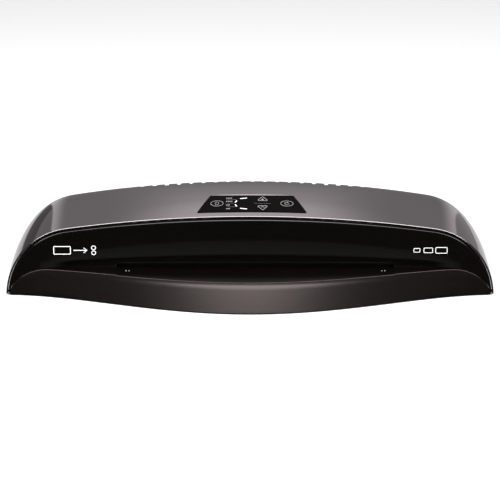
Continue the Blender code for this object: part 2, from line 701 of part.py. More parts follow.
def make_side_plate(word):
    x = PLATE_X[word]
    outward = 1 if word == "right" else -1
    low_edge = FLOOR_TOP + GAP + FOLD_OVERLAP
    high_edge = PLATE_TOP - FOLD_OVERLAP
    edge = rectangle(PLATE_FRONT_Y, PLATE_REAR_Y, low_edge, high_edge)
    holes = [circle(BUSH_RADIUS + GAP, 24, axis) for axis in LOWER_AXES.values()]
    for y, z in UPPER_AXES.values():
        half = BLOCK_WIDTH / 2 + GAP
        low = z - BLOCK_HEIGHT / 2 - GAP
        high = PLATE_TOP - SEAT_THICKNESS + FOLD_OVERLAP
        holes.append(rectangle(y - half, y + half, low, high))
    holes += [circle(TIE_RADIUS - 1 * MM, 16, place) for place in TIE_PLACES.values()]
    plate = outline_solid(f"side_plate_{word}", [edge] + holes, PLATE_THICKNESS,
                          (x, 0, 0), FACING_X, STEEL_SHEET)
    middle_y = (PLATE_FRONT_Y + PLATE_REAR_Y) / 2
    depth = PLATE_REAR_Y - PLATE_FRONT_Y + 2 * FOLD_OVERLAP
    seat = box(f"spring_seat_{word}", (13 * MM, depth, SEAT_THICKNESS),
               (x, middle_y, PLATE_TOP - SEAT_THICKNESS / 2))
    flange = box(f"floor_flange_{word}", (11 * MM, depth, FLANGE_THICKNESS),
                 (x + outward * 5 * MM, middle_y, FLOOR_TOP + GAP + FLANGE_THICKNESS / 2))
    join(plate, seat, flange)
    if word == "right":
        stud = rod_along_x("idler_stud", STUD_RADIUS, x, GEAR_X + GEAR_WIDTH / 2 + 1 * MM, IDLER.x, IDLER.y)
        join(plate, stud)
    return plate


def make_tie_bars():
    low = PLATE_X["left"] + PLATE_THICKNESS / 2 + GAP
    high = PLATE_X["right"] - PLATE_THICKNESS / 2 - GAP
    for name, (y, z) in TIE_PLACES.items():
        rod_along_x(name, TIE_RADIUS, low, high, y, z, STEEL_ROD, sides=16)


SHAFT_LOW = PLATE_X["left"] - 6 * MM
SHAFT_HIGH = GEAR_X + GEAR_WIDTH / 2 + 1.5 * MM
SHOULDER = SLEEVE_HALF + 3 * MM      # the shaft's thick part ends here, either side of the throat's middle


def make_roller(name, radius, y, z):
    profile = [
        (0, SHAFT_HIGH),
        (JOURNAL_RADIUS, SHAFT_HIGH),
        (JOURNAL_RADIUS, THROAT_X + SHOULDER),
        (CORE_RADIUS, THROAT_X + SHOULDER),
        (CORE_RADIUS, THROAT_X - SHOULDER),
        (JOURNAL_RADIUS, THROAT_X - SHOULDER),
        (JOURNAL_RADIUS, SHAFT_LOW),
        (0, SHAFT_LOW),
    ]
    turned(name + "_shaft", profile, (0, y, z), ALONG_X, STEEL_ROD, sides=20)
    tube = [(radius, SLEEVE_HALF), (radius, -SLEEVE_HALF), (CORE_RADIUS + GAP, -SLEEVE_HALF),
            (CORE_RADIUS + GAP, SLEEVE_HALF)]
    turned(name + "_sleeve", tube, (THROAT_X, y, z), ALONG_X, SILICONE, sides=28, closed=True)


def make_rollers():
    make_roller("lower_hot", HOT_RADIUS, HOT_Y, LOWER_HOT_Z)
    make_roller("upper_hot", HOT_RADIUS, HOT_Y, UPPER_HOT_Z)
    make_roller("lower_pull", PULL_RADIUS, PULL_Y, LOWER_PULL_Z)
    make_roller("upper_pull", PULL_RADIUS, PULL_Y, UPPER_PULL_Z)


def make_lower_bushes():
    for pair, (y, z) in LOWER_AXES.items():
        for word, inward in (("left", 1), ("right", -1)):
            neck_end = -3 * MM
            flange_start = PLATE_THICKNESS / 2 + GAP
            flange_end = flange_start + 1.5 * MM
            profile = [(BUSH_RADIUS + 2 * MM, flange_end), (BUSH_RADIUS + 2 * MM, flange_start),
                       (BUSH_RADIUS, flange_start), (BUSH_RADIUS, neck_end), (BUSH_BORE, neck_end),
                       (BUSH_BORE, flange_end)]
            rotation = (0, inward * math.pi / 2, 0)
            turned(f"lower_{pair}_bush_{word}", profile, (PLATE_X[word], y, z), rotation, NYLON, sides=20,
                   closed=True)


BLOCK_LENGTH = 7 * MM


def make_upper_blocks():
    half = BLOCK_WIDTH / 2
    tall = BLOCK_HEIGHT / 2
    edge = rectangle(-half, half, -tall, tall)
    for pair, (y, z) in UPPER_AXES.items():
        for word, x in PLATE_X.items():
            outline_solid(f"upper_{pair}_block_{word}", [edge, circle(BUSH_BORE, 20)], BLOCK_LENGTH,
                          (x, y, z), FACING_X, NYLON)


SPRING_WIRE = 0.6 * MM
SPRING_RADIUS = 3.6 * MM
SPRING_TURNS = 5
SPRING_STEPS = 9                     # points in one turn


def make_springs():
    """Pressure springs, each from the top of a bearing block up to the seat on the side plate."""
    for pair, (y, z) in UPPER_AXES.items():
        low = z + BLOCK_HEIGHT / 2 + GAP + SPRING_WIRE
        high = PLATE_TOP - SEAT_THICKNESS - GAP - SPRING_WIRE
        for word, x in PLATE_X.items():
            count = SPRING_TURNS * SPRING_STEPS
            curve = bpy.data.curves.new(f"{pair}_spring_{word}", "CURVE")
            curve.dimensions = "3D"
            curve.bevel_depth = SPRING_WIRE
            curve.bevel_resolution = 1
            curve.use_fill_caps = True
            spline = curve.splines.new("POLY")
            spline.points.add(count)
            for i, point in enumerate(spline.points):
                angle = math.tau * i / SPRING_STEPS
                rise = low + (high - low) * i / count
                point.co = (x + SPRING_RADIUS * math.cos(angle), y + SPRING_RADIUS * math.sin(angle), rise, 1)
            spring = bpy.data.objects.new(f"{pair}_spring_{word}", curve)
            curve.materials.append(STEEL_ROD)
            PARTS.objects.link(spring)


# ------------------------------------------------------------------ gears and motor
def gear_outline(teeth, phase):
    """Straight-flanked teeth: four points each, the first tooth's middle at the phase angle."""
    pitch_radius = teeth * GEAR_MODULE / 2
    root = pitch_radius - 1.25 * GEAR_MODULE
    tip = pitch_radius + 0.95 * GEAR_MODULE
    step = math.tau / teeth
    points = []
    for i in range(teeth):
        middle = phase + step * i
        for radius, share in ((root, -0.29), (tip, -0.12), (tip, 0.12), (root, 0.29)):
            angle = middle + share * step
            points.append((radius * math.cos(angle), radius * math.sin(angle)))
    return points


def mesh_phase(driver_phase, driver_teeth, direction, teeth):
    """Phase of a gear that meshes with a driver, from the direction of its centre seen from the driver's."""
    return direction + math.pi - math.pi / teeth - (driver_phase - direction) * driver_teeth / teeth


def direction_from(start, end):
    return math.atan2(end[1] - start[1], end[0] - start[0])


def make_gear(name, teeth, phase, axis, bore):
    loops = [gear_outline(teeth, phase)]
    if bore:
        loops.append(circle(bore, 20))
    return outline_solid(name, loops, GEAR_WIDTH, (GEAR_X, axis[0], axis[1]), FACING_X, NYLON)


def make_gear_train():
    lead = 0.0
    up = math.pi / 2
    make_gear("lower_hot_gear", HOT_TEETH, lead, LOWER_AXES["hot"], BUSH_BORE)
    upper_hot = mesh_phase(lead, HOT_TEETH, up, HOT_TEETH)
    make_gear("upper_hot_gear", HOT_TEETH, upper_hot, UPPER_AXES["hot"], BUSH_BORE)
    idler = mesh_phase(lead, HOT_TEETH, IDLER_ANGLE, IDLER_TEETH)
    make_gear("idler_gear", IDLER_TEETH, idler, IDLER, STUD_RADIUS + GAP)
    to_pull = direction_from(IDLER, LOWER_AXES["pull"])
    lower_pull = mesh_phase(idler, IDLER_TEETH, to_pull, PULL_TEETH)
    make_gear("lower_pull_gear", PULL_TEETH, lower_pull, LOWER_AXES["pull"], BUSH_BORE)
    upper_pull = mesh_phase(lower_pull, PULL_TEETH, up, PULL_TEETH)
    make_gear("upper_pull_gear", PULL_TEETH, upper_pull, UPPER_AXES["pull"], BUSH_BORE)
    pinion_phase = mesh_phase(lead, HOT_TEETH, PINION_ANGLE, PINION_TEETH)
    pinion = make_gear("motor_pinion", PINION_TEETH, pinion_phase, PINION, 0)
    shaft = rod_along_x("pinion_shaft", PINION_SHAFT, GEAR_X, MOTOR_X - GAP, PINION.x, PINION.y, sides=16)
    join(pinion, shaft)


PINION_SHAFT = 2 * MM
BRACKET_X = 190 * MM
MOTOR_X = BRACKET_X + 1 * MM + GAP
MOTOR_LENGTH = 22 * MM
MOTOR_RADIUS = 20 * MM
MOTOR_Y = 8 * MM
MOTOR_Z = 26 * MM
STANDOFFS = [(-9 * MM, 38 * MM), (27 * MM, 38 * MM)]
STANDOFF_RADIUS = 2.5 * MM
BRACKET_FRONT_Y = -13 * MM
BRACKET_REAR_Y = 31 * MM
BRACKET_LOW = 5 * MM
BRACKET_HIGH = 48 * MM
BRACKET_CLIP = 6 * MM                # the bracket's upper corners are cut off this much
BEARING_RADIUS = 5 * MM
BEARING_HEIGHT = 2 * MM


def make_motor():
    bracket_edge = [
        (BRACKET_FRONT_Y, BRACKET_LOW),
        (BRACKET_REAR_Y, BRACKET_LOW),
        (BRACKET_REAR_Y, BRACKET_HIGH - BRACKET_CLIP),
        (BRACKET_REAR_Y - BRACKET_CLIP, BRACKET_HIGH),
        (BRACKET_FRONT_Y + BRACKET_CLIP, BRACKET_HIGH),
        (BRACKET_FRONT_Y, BRACKET_HIGH - BRACKET_CLIP),
    ]
    bracket = outline_solid("motor_bracket", [bracket_edge, circle(PINION_SHAFT + 1 * MM, 16, tuple(PINION))],
                            PLATE_THICKNESS, (BRACKET_X, 0, 0), FACING_X, STEEL_SHEET)
    for number, (y, z) in enumerate(STANDOFFS, 1):
        join(bracket, rod_along_x(f"standoff_{number}", STANDOFF_RADIUS,
                                  PLATE_X["right"] + PLATE_THICKNESS / 2 + GAP, BRACKET_X, y, z, sides=12))
    profile = [
        (0, MOTOR_LENGTH),
        (BEARING_RADIUS, MOTOR_LENGTH),
        (BEARING_RADIUS, MOTOR_LENGTH - BEARING_HEIGHT),
        (MOTOR_RADIUS - 1.5 * MM, MOTOR_LENGTH - BEARING_HEIGHT),
        (MOTOR_RADIUS, MOTOR_LENGTH - BEARING_HEIGHT - 1.5 * MM),
        (MOTOR_RADIUS, 0),
        (0, 0),
    ]
    turned("drive_motor", profile, (MOTOR_X, MOTOR_Y, MOTOR_Z), ALONG_X, STEEL_SHEET, sides=32)


# ------------------------------------------------------------------ heat and guides
SHOE_INNER = HOT_RADIUS + 2.5 * MM
SHOE_OUTER = HOT_RADIUS + 4.5 * MM
SHOE_HALF = 158 * MM


def shoe_outline(first, last):
    steps = 10
    angles = [math.radians(first + (last - first) * i / steps) for i in range(steps + 1)]
    outer = [(SHOE_OUTER * math.cos(a), SHOE_OUTER * math.sin(a)) for a in angles]
    inner = [(SHOE_INNER * math.cos(a), SHOE_INNER * math.sin(a)) for a in reversed(angles)]
    return outer + inner


def make_heat_shoes():
    outline_solid("upper_heat_shoe", [shoe_outline(20, 160)], 2 * SHOE_HALF, (THROAT_X, HOT_Y, UPPER_HOT_Z),
                  FACING_X, ALUMINIUM)
    outline_solid("lower_heat_shoe", [shoe_outline(200, 340)], 2 * SHOE_HALF, (THROAT_X, HOT_Y, LOWER_HOT_Z),
                  FACING_X, ALUMINIUM)
    top = UPPER_HOT_Z + SHOE_OUTER + GAP
    profile = [(0, 7 * MM), (6 * MM, 7 * MM), (6 * MM, 2 * MM), (8 * MM, 2 * MM), (8 * MM, 0), (0, 0)]
    turned("thermostat", profile, (THROAT_X, HOT_Y, top), (0, 0, 0), STEEL_SHEET, sides=16)


GUIDE_THICKNESS = 1 * MM
GUIDE_HALF = 163 * MM


def make_guides():
    def strip(name, start, end):
        """A guide sheet from a front edge (y, z) to a rear edge; its thickness is added upwards."""
        edge = [start, end, (end[0], end[1] + GUIDE_THICKNESS), (start[0], start[1] + GUIDE_THICKNESS)]
        outline_solid(name, [edge], 2 * GUIDE_HALF, (THROAT_X, 0, 0), FACING_X, STEEL_SHEET)

    strip("entry_guide_upper", (-15.5 * MM, 39.6 * MM), (1.5 * MM, 37.4 * MM))
    strip("middle_guide_lower", (20.5 * MM, 31.6 * MM), (36.5 * MM, 31.6 * MM))
    strip("middle_guide_upper", (20.5 * MM, 37.4 * MM), (36.5 * MM, 37.4 * MM))
    strip("exit_guide_lower", (51.5 * MM, 31.6 * MM), (69 * MM, 31.6 * MM))


# ------------------------------------------------------------------ power side
POWER_BOARD_Z = 9 * MM
POWER_BOARD_SIZE = (84 * MM, 58 * MM, BOARD_THICKNESS)
TRANSFORMER_SIZE = (30 * MM, 26 * MM, 24 * MM)
RELAY_SIZE = (18 * MM, 15 * MM, 15 * MM)
CAPACITOR_RADIUS = 7 * MM
CAPACITOR_HEIGHT = 20 * MM


def make_power_board():
    board = box("power_board", POWER_BOARD_SIZE, (-215 * MM, 26 * MM, POWER_BOARD_Z), BOARD_GREEN)
    transformer = box("board_transformer", TRANSFORMER_SIZE,
                      (-235 * MM, 30 * MM, POWER_BOARD_Z + TRANSFORMER_SIZE[2] / 2))
    relay = box("board_relay", RELAY_SIZE, (-190 * MM, 42 * MM, POWER_BOARD_Z + RELAY_SIZE[2] / 2))
    can = [(0, CAPACITOR_HEIGHT), (CAPACITOR_RADIUS, CAPACITOR_HEIGHT), (CAPACITOR_RADIUS, 0), (0, 0)]
    capacitor = turned("board_capacitor", can, (-192 * MM, 12 * MM, POWER_BOARD_Z), (0, 0, 0), sides=16)
    return join(board, transformer, relay, capacitor)


HOUSING_BACK = 58 * MM
HOUSING_FACE = REAR_PANEL_Y + REAR_PANEL_THICKNESS + GAP
BEZEL = 1.4 * MM
BEZEL_MARGIN = 2 * MM
POCKET_SIZE = (16 * MM, 20 * MM, 12 * MM)
POCKET_DEPTH = 8 * MM
PIVOT_Y = HOUSING_FACE - 2 * MM
PIN_RADIUS = 1 * MM
PIN_HALF = 8.7 * MM
ROCKER_LENGTH = 15.4 * MM
ROCKER_REST = math.radians(-8)
# (up, outward) corners of the rocker in millimetres, before it is turned to rest
ROCKER_OUTLINE = [(-2.5, -3.4), (2.5, -3.4), (5, -1), (5, 2.7), (0, 1.8), (-5, 2.7), (-5, -1)]


def make_rocker_switch():
    depth = HOUSING_FACE + BEZEL - HOUSING_BACK
    middle = HOUSING_BACK + depth / 2
    width = 2 * HOUSING_HALF_X
    height = 2 * HOUSING_HALF_Z
    housing = box("switch_housing", (width, depth, height), (SWITCH_X, middle, SWITCH_Z), BUTTON_BLACK)
    bezel = box("switch_bezel", (width + 2 * BEZEL_MARGIN, BEZEL, height + 2 * BEZEL_MARGIN),
                (SWITCH_X, HOUSING_FACE + BEZEL / 2, SWITCH_Z))
    pocket = box("switch_pocket", POCKET_SIZE,
                 (SWITCH_X, HOUSING_FACE - POCKET_DEPTH + POCKET_SIZE[1] / 2, SWITCH_Z))
    reach = PIN_HALF + GAP
    pin_hole = rod_along_x("switch_pin_hole", PIN_RADIUS + GAP, SWITCH_X - reach, SWITCH_X + reach, PIVOT_Y,
                           SWITCH_Z, sides=16)
    join(housing, bezel)
    cut(housing, pocket, pin_hole)
    turn = Matrix.Rotation(ROCKER_REST, 2)
    edge = []
    for up, outward in ROCKER_OUTLINE:
        point = turn @ Vector((up * MM, outward * MM))
        edge.append((point.y, point.x))
    rocker = outline_solid("switch_rocker", [edge], ROCKER_LENGTH, (SWITCH_X, PIVOT_Y, SWITCH_Z), FACING_X,
                           BUTTON_BLACK)
    pin = rod_along_x("rocker_pin", PIN_RADIUS, SWITCH_X - PIN_HALF, SWITCH_X + PIN_HALF, PIVOT_Y, SWITCH_Z,
                      sides=16)
    join(rocker, pin)


def make_cord_gland():
    """A rubber bush in the rear panel. The mains lead leaves through its bore."""
    face = REAR_PANEL_THICKNESS + GAP
    profile = [(8.5 * MM, face + 2 * MM), (8.5 * MM, face), (GLAND_NECK, face), (GLAND_NECK, -4 * MM),
               (3.6 * MM, -4 * MM), (3.6 * MM, face + 2 * MM)]
    turned("cord_gland", profile, (GLAND_X, REAR_PANEL_Y, GLAND_Z), ALONG_Y, FOOT_RUBBER,
           sides=20, closed=True)


make_top_cover()
make_front_fascia()
make_base_shell()
make_feet()
make_rear_panel()
make_control_panel()
make_buttons()
make_light_pipe()
make_control_board()
make_side_plate("left")
make_side_plate("right")
make_tie_bars()
make_rollers()
make_lower_bushes()
make_upper_blocks()
make_springs()
make_gear_train()
make_motor()
make_heat_shoes()
make_guides()
make_power_board()
make_rocker_switch()
make_cord_gland()
bpy.context.view_layer.update()
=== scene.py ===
"""Looks for the pouch laminator: a gunmetal cover over a piano-black front and a charcoal base."""

import json
import math

import bmesh
import bpy
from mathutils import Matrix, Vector


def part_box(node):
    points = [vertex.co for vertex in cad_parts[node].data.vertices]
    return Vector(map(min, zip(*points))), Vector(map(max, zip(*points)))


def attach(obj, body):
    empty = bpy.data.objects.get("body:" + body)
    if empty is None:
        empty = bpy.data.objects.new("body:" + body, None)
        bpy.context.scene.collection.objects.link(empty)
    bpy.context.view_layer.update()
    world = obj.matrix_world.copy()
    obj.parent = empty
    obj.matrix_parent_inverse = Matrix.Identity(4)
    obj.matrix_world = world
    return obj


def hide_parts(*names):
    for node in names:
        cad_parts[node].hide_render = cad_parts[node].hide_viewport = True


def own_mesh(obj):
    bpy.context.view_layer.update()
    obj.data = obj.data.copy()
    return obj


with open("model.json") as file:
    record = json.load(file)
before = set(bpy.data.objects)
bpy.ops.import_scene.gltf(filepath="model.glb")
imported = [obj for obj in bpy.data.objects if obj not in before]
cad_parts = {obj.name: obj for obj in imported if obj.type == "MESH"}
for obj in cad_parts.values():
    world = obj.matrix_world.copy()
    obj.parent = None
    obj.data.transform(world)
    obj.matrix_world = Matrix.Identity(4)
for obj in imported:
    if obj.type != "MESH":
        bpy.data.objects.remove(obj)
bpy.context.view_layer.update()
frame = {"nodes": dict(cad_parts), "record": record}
MM = 0.001

# Studio. A pale table, a soft box in front overhead, and cards around and behind the machine.
# The camera looks down at the feed slot with a long lens.
CAMERA_DISTANCE = 2.4
CAMERA_ELEVATION = math.radians(25)
CAMERA_AIM = Vector((0, 0, 46.2 * MM))
BOX_ELEVATION = math.radians(57)
BOX_DISTANCE = 1.7
BOX_SIZE = (3.6, 0.95)
BOX_POWER = 85

scene = bpy.context.scene
scene.view_settings.view_transform = "Standard"
camera_data = bpy.data.cameras.new("camera")
camera_data.lens = 150.2
camera_data.sensor_width = 36
camera_data.clip_end = 30
camera = bpy.data.objects.new("camera", camera_data)
scene.collection.objects.link(camera)
sight = Vector((0, -math.cos(CAMERA_ELEVATION), math.sin(CAMERA_ELEVATION)))
camera.location = CAMERA_AIM + CAMERA_DISTANCE * sight
camera.rotation_euler = (math.pi / 2 - CAMERA_ELEVATION, 0, 0)
scene.camera = camera

box_light = bpy.data.lights.new("front_soft_box", "AREA")
box_light.shape = "RECTANGLE"
box_light.size, box_light.size_y = BOX_SIZE
box_light.energy = BOX_POWER
soft_box = bpy.data.objects.new("front_soft_box", box_light)
scene.collection.objects.link(soft_box)
soft_box.location = (0, -BOX_DISTANCE * math.cos(BOX_ELEVATION), BOX_DISTANCE * math.sin(BOX_ELEVATION))
soft_box.rotation_euler = (math.pi / 2 - BOX_ELEVATION, 0, 0)


class Cards:
    """Adds up soft-edged bright cards in a world's node tree. Directions point from the machine."""

    def __init__(self, tree):
        tree.nodes.clear()
        self.tree = tree
        self.link = tree.links.new
        self.way = self.add("ShaderNodeTexCoord").outputs["Generated"]
        self.total = self.number(0.0)

    def add(self, kind, **settings):
        node = self.tree.nodes.new(kind)
        for key, value in settings.items():
            setattr(node, key, value)
        return node

    def number(self, value):
        node = self.add("ShaderNodeValue")
        node.outputs[0].default_value = value
        return node.outputs[0]

    def math(self, operation, first, second):
        node = self.add("ShaderNodeMath", operation=operation)
        for socket, value in zip(node.inputs, (first, second)):
            if isinstance(value, (int, float)):
                socket.default_value = value
            else:
                self.link(value, socket)
        return node.outputs[0]

    def toward(self, direction):
        """How far the looked-in direction goes along another, from -1 to 1."""
        node = self.add("ShaderNodeVectorMath", operation="DOT_PRODUCT")
        node.inputs[1].default_value = Vector(direction).normalized()
        self.link(self.way, node.inputs[0])
        return node.outputs["Value"]

    def step(self, value, start, end, low=0.0, high=1.0):
        """Goes smoothly from low at start to high at end."""
        node = self.add("ShaderNodeMapRange", interpolation_type="SMOOTHSTEP")
        self.link(value, node.inputs["Value"])
        for name, setting in (("From Min", start), ("From Max", end), ("To Min", low), ("To Max", high)):
            node.inputs[name].default_value = setting
        return node.outputs["Result"]

    def curve(self, value, stops):
        """A level for each value, given as (value, level) stops with straight runs between."""
        place = self.step(value, -1, 1)
        place.node.interpolation_type = "LINEAR"
        ramp = self.add("ShaderNodeValToRGB")
        self.link(place, ramp.inputs["Fac"])
        elements = ramp.color_ramp.elements
        elements.remove(elements[1])
        for number, (at, level) in enumerate(stops):
            stop = elements[0] if number == 0 else elements.new((at + 1) / 2)
            stop.position = (at + 1) / 2
            stop.color = (level, level, level, 1)
        return ramp.outputs["Color"]

    def shine(self, strength, *masks):
        """Adds a card: the strength times each mask."""
        card = self.number(strength)
        for mask in masks:
            card = self.math("MULTIPLY", card, mask)
        self.total = self.math("ADD", self.total, card)


def rise(degrees):
    return math.sin(math.radians(degrees))


def studio_world():
    """Grey room, white table behind, a strip overhead that fades backwards, a bright card at each side."""
    table_levels = [(rise(-60), 0), (rise(-27), 0.02), (rise(-20), 0.18), (rise(-16.5), 0.24),
                    (rise(-11.6), 0.15), (rise(-10.6), 0.055), (rise(-6), 0.05), (rise(2), 0.12),
                    (rise(8), 0.2), (rise(16), 0.16), (rise(25), 0.1), (1, 0.1)]
    strip_levels = [(0, 0), (0.5, 0.1), (0.7, 0.24), (0.84, 0.42), (0.9, 0.75), (1, 1)]
    wall_levels = [(0, 0.42), (rise(25), 0.45), (rise(40), 0.53), (rise(58), 0.57), (1, 0.57)]
    world = bpy.data.worlds.new("studio")
    scene.world = world
    world.use_nodes = True
    cards = Cards(world.node_tree)
    up = cards.toward((0, 0, 1))
    back = cards.toward((0, 1, 0))
    across = cards.math("ABSOLUTE", cards.toward((1, 0, 0)), 0)
    behind = cards.step(back, -0.05, 0.25)
    ahead = cards.step(back, -0.05, -0.3)
    over = cards.step(up, rise(-3), rise(3))
    under = cards.step(up, rise(1), rise(-4))
    cards.shine(1.0, behind, under)
    cards.shine(1.0, ahead, cards.curve(up, table_levels))
    strip = cards.step(across, 0.07, 0.21, 1, 0)
    cards.shine(1.15, behind, strip, cards.curve(up, strip_levels))
    sides = {"left": ((0.8775, 0.318, 0.359), 0.2, 0.45), "right": ((-0.82, 0.38, 0.43), 0.57, 0.57)}
    middle = behind
    for edge, low, high in sides.values():
        inside = cards.toward(edge)
        middle = cards.math("MULTIPLY", middle, cards.step(inside, -0.006, 0.006))
        outside = cards.step(inside, 0.006, -0.006)
        cards.shine(1.0, behind, over, outside, cards.step(up, rise(19), rise(22), low, high))
    cards.shine(1.0, over, middle, cards.curve(up, wall_levels))
    for edge, low, high in sides.values():
        fringe = cards.step(cards.toward(edge), 0.0, 0.28, 1, 0)
        cards.shine(0.75, over, middle, fringe, fringe)
    background = cards.add("ShaderNodeBackground")
    cards.link(cards.total, background.inputs["Color"])
    white = cards.add("ShaderNodeBackground")
    white.inputs["Color"].default_value = (1, 1, 1, 1)
    path = cards.add("ShaderNodeLightPath")
    pick = cards.add("ShaderNodeMixShader")
    out = cards.add("ShaderNodeOutputWorld")
    cards.link(path.outputs["Is Camera Ray"], pick.inputs["Fac"])
    cards.link(background.outputs["Background"], pick.inputs[1])
    cards.link(white.outputs["Background"], pick.inputs[2])
    cards.link(pick.outputs["Shader"], out.inputs["Surface"])


studio_world()
bpy.ops.object.select_all(action="DESELECT")
bpy.ops.mesh.primitive_plane_add(size=12)
floor = bpy.context.object
floor.name = "floor"
floor.visible_glossy = False
floor_paint = bpy.data.materials.new("table_white")
floor_paint.use_nodes = True
floor_paint.node_tree.nodes["Principled BSDF"].inputs["Base Color"].default_value = (0.93, 0.93, 0.93, 1)
floor_paint.node_tree.nodes["Principled BSDF"].inputs["Roughness"].default_value = 0.9
floor.data.materials.append(floor_paint)


# Top cover. One injection-moulded shell, painted gunmetal with a clear coat, clipped down over the base.
# It arches from side to side, slopes up from a rounded lip to a ridge, and rolls down at the back.
HALF_WIDTH = 280 * MM
LIP_HEIGHT = 93.8 * MM
CROWN_RADIUS = 1540 * MM
SHOULDER_RADIUS = 81 * MM
LEAN = math.radians(8)
FRONT_Y = -25 * MM
RIDGE_Y = 50 * MM
RIDGE_HEIGHT = 110 * MM
REAR_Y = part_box("top_cover")[1].y
REAR_EDGE_HEIGHT = 60 * MM
REAR_TAPER = 0.05
COVER_WALL = 2.1 * MM
COVER_BOTTOM = 2.4 * MM
CROWN_SHARE = 0.42
RIDGE_SHARE = 0.55
CROWN_ANGLE = math.asin((HALF_WIDTH - SHOULDER_RADIUS) / (CROWN_RADIUS - SHOULDER_RADIUS))
SHOULDER_X = HALF_WIDTH - SHOULDER_RADIUS
SHOULDER_Z = LIP_HEIGHT - CROWN_RADIUS + (CROWN_RADIUS - SHOULDER_RADIUS) * math.cos(CROWN_ANGLE)
LIP_Y = FRONT_Y + math.tan(LEAN) * LIP_HEIGHT
BEND_Y = LIP_Y + 0.62 * (RIDGE_Y - LIP_Y)
VENT_COUNT = 21
VENT_PITCH = 14.2 * MM
VENT_MIDDLE = 3 * MM
VENT_HALF = (2.5 * MM, 15.75 * MM)
VENT_CENTRE = (64.5 * MM, 100.8 * MM)
VENT_TILT = math.radians(48)


def arch_point(share, inset=0.0, bottom=COVER_BOTTOM):
    """(x, z) on the front arch: share is -1 at the left foot, 0 in the middle and 1 at the right foot."""
    side = -1 if share < 0 else 1
    share = abs(share)
    if share <= CROWN_SHARE:
        angle = CROWN_ANGLE * share / CROWN_SHARE
        crown = CROWN_RADIUS - inset
        return side * crown * math.sin(angle), LIP_HEIGHT - CROWN_RADIUS + crown * math.cos(angle)
    radius = SHOULDER_RADIUS - inset
    foot = math.acos((bottom - SHOULDER_Z) / radius)
    angle = CROWN_ANGLE + (foot - CROWN_ANGLE) * (share - CROWN_SHARE) / (1 - CROWN_SHARE)
    return side * (SHOULDER_X + radius * math.sin(angle)), SHOULDER_Z + radius * math.cos(angle)


def middle_section(t):
    """(y, z) along the cover's middle: the slope from lip to ridge, then a quarter ellipse down."""
    if t <= RIDGE_SHARE:
        s = t / RIDGE_SHARE
        y = (1 - s) ** 2 * LIP_Y + 2 * s * (1 - s) * BEND_Y + s * s * RIDGE_Y
        return y, (1 - s) ** 2 * LIP_HEIGHT + (1 - (1 - s) ** 2) * RIDGE_HEIGHT
    angle = math.pi / 2 * (t - RIDGE_SHARE) / (1 - RIDGE_SHARE)
    y = RIDGE_Y + (REAR_Y - RIDGE_Y) * math.sin(angle)
    return y, REAR_EDGE_HEIGHT + (RIDGE_HEIGHT - REAR_EDGE_HEIGHT) * math.cos(angle)


def roll_rows(radius, back):
    """(forward, drop) steps of a rolled edge: a short return, then a quarter turn up to the face."""
    turns = [math.radians(15 * i) for i in range(7)]
    return [(0, radius + back)] + [(radius * (1 - math.cos(a)), radius * (1 - math.sin(a))) for a in turns]


LIP_RADIUS = 0.9 * MM
LIP_ROWS = roll_rows(LIP_RADIUS, 0.2 * MM)
SLOPE_ROWS = 60
COVER_COLUMNS = 170
COVER_ROWS = len(LIP_ROWS) + SLOPE_ROWS


def cover_point(u, v):
    row = round(v * (COVER_ROWS - 1))
    if row < len(LIP_ROWS):
        forward, drop = LIP_ROWS[row]
    else:
        forward, drop = LIP_RADIUS, 0
    start = forward / (2 * (BEND_Y - LIP_Y)) * RIDGE_SHARE
    along = start + (1 - start) * max(0, row - len(LIP_ROWS) + 1) / SLOPE_ROWS
    x, arch_z = arch_point(2 * u - 1)
    y_middle, z_middle = middle_section(along)
    lip_y = FRONT_Y + math.tan(LEAN) * arch_z
    y = lip_y + (y_middle - LIP_Y) * (REAR_Y - lip_y) / (REAR_Y - LIP_Y)
    depth = (y - lip_y) / (REAR_Y - lip_y)
    x, arch_z = arch_point(2 * u - 1, drop)
    return Vector((x * (1 - REAR_TAPER * depth ** 3), y, arch_z * z_middle / LIP_HEIGHT))


def slope_height(x, y):
    """Height of the cover over a place on the front slope of the crown."""
    arch_z = LIP_HEIGHT - CROWN_RADIUS + math.sqrt(CROWN_RADIUS ** 2 - x ** 2)
    lip_y = FRONT_Y + math.tan(LEAN) * arch_z
    y_middle = LIP_Y + (y - lip_y) * (REAR_Y - LIP_Y) / (REAR_Y - lip_y)
    a = LIP_Y - 2 * BEND_Y + RIDGE_Y
    b = 2 * (BEND_Y - LIP_Y)
    s = (-b + math.sqrt(b * b + 4 * a * (y_middle - LIP_Y))) / (2 * a)
    return arch_z * ((1 - s) ** 2 * LIP_HEIGHT + (1 - (1 - s) ** 2) * RIDGE_HEIGHT) / LIP_HEIGHT


def lay_grid(name, columns, rows, place):
    """A flat grid whose points are each put where place(u, v) says, u and v from 0 to 1."""
    bpy.ops.object.select_all(action="DESELECT")
    bpy.ops.mesh.primitive_grid_add(x_subdivisions=columns, y_subdivisions=rows, size=2)
    sheet = bpy.context.object
    sheet.name = name
    for vert in sheet.data.vertices:
        vert.co = place((vert.co.x + 1) / 2, (vert.co.y + 1) / 2)
    return sheet


def pick(piece):
    """Selects one piece alone and makes it the active one."""
    bpy.ops.object.select_all(action="DESELECT")
    piece.select_set(True)
    bpy.context.view_layer.objects.active = piece


def work(piece, kind, **settings):
    """Adds a modifier to a piece and applies it."""
    pick(piece)
    modifier = piece.modifiers.new(kind.lower(), kind)
    for key, value in settings.items():
        setattr(modifier, key, value)
    bpy.ops.object.modifier_apply(modifier=modifier.name)
    return piece


def thicken(piece, wall):
    return work(piece, "SOLIDIFY", thickness=wall, offset=-1, use_even_offset=True)


def round_edges(piece, width, segments=3, above=40):
    return work(piece, "BEVEL", width=width, segments=segments, limit_method="ANGLE",
                angle_limit=math.radians(above), harden_normals=False)


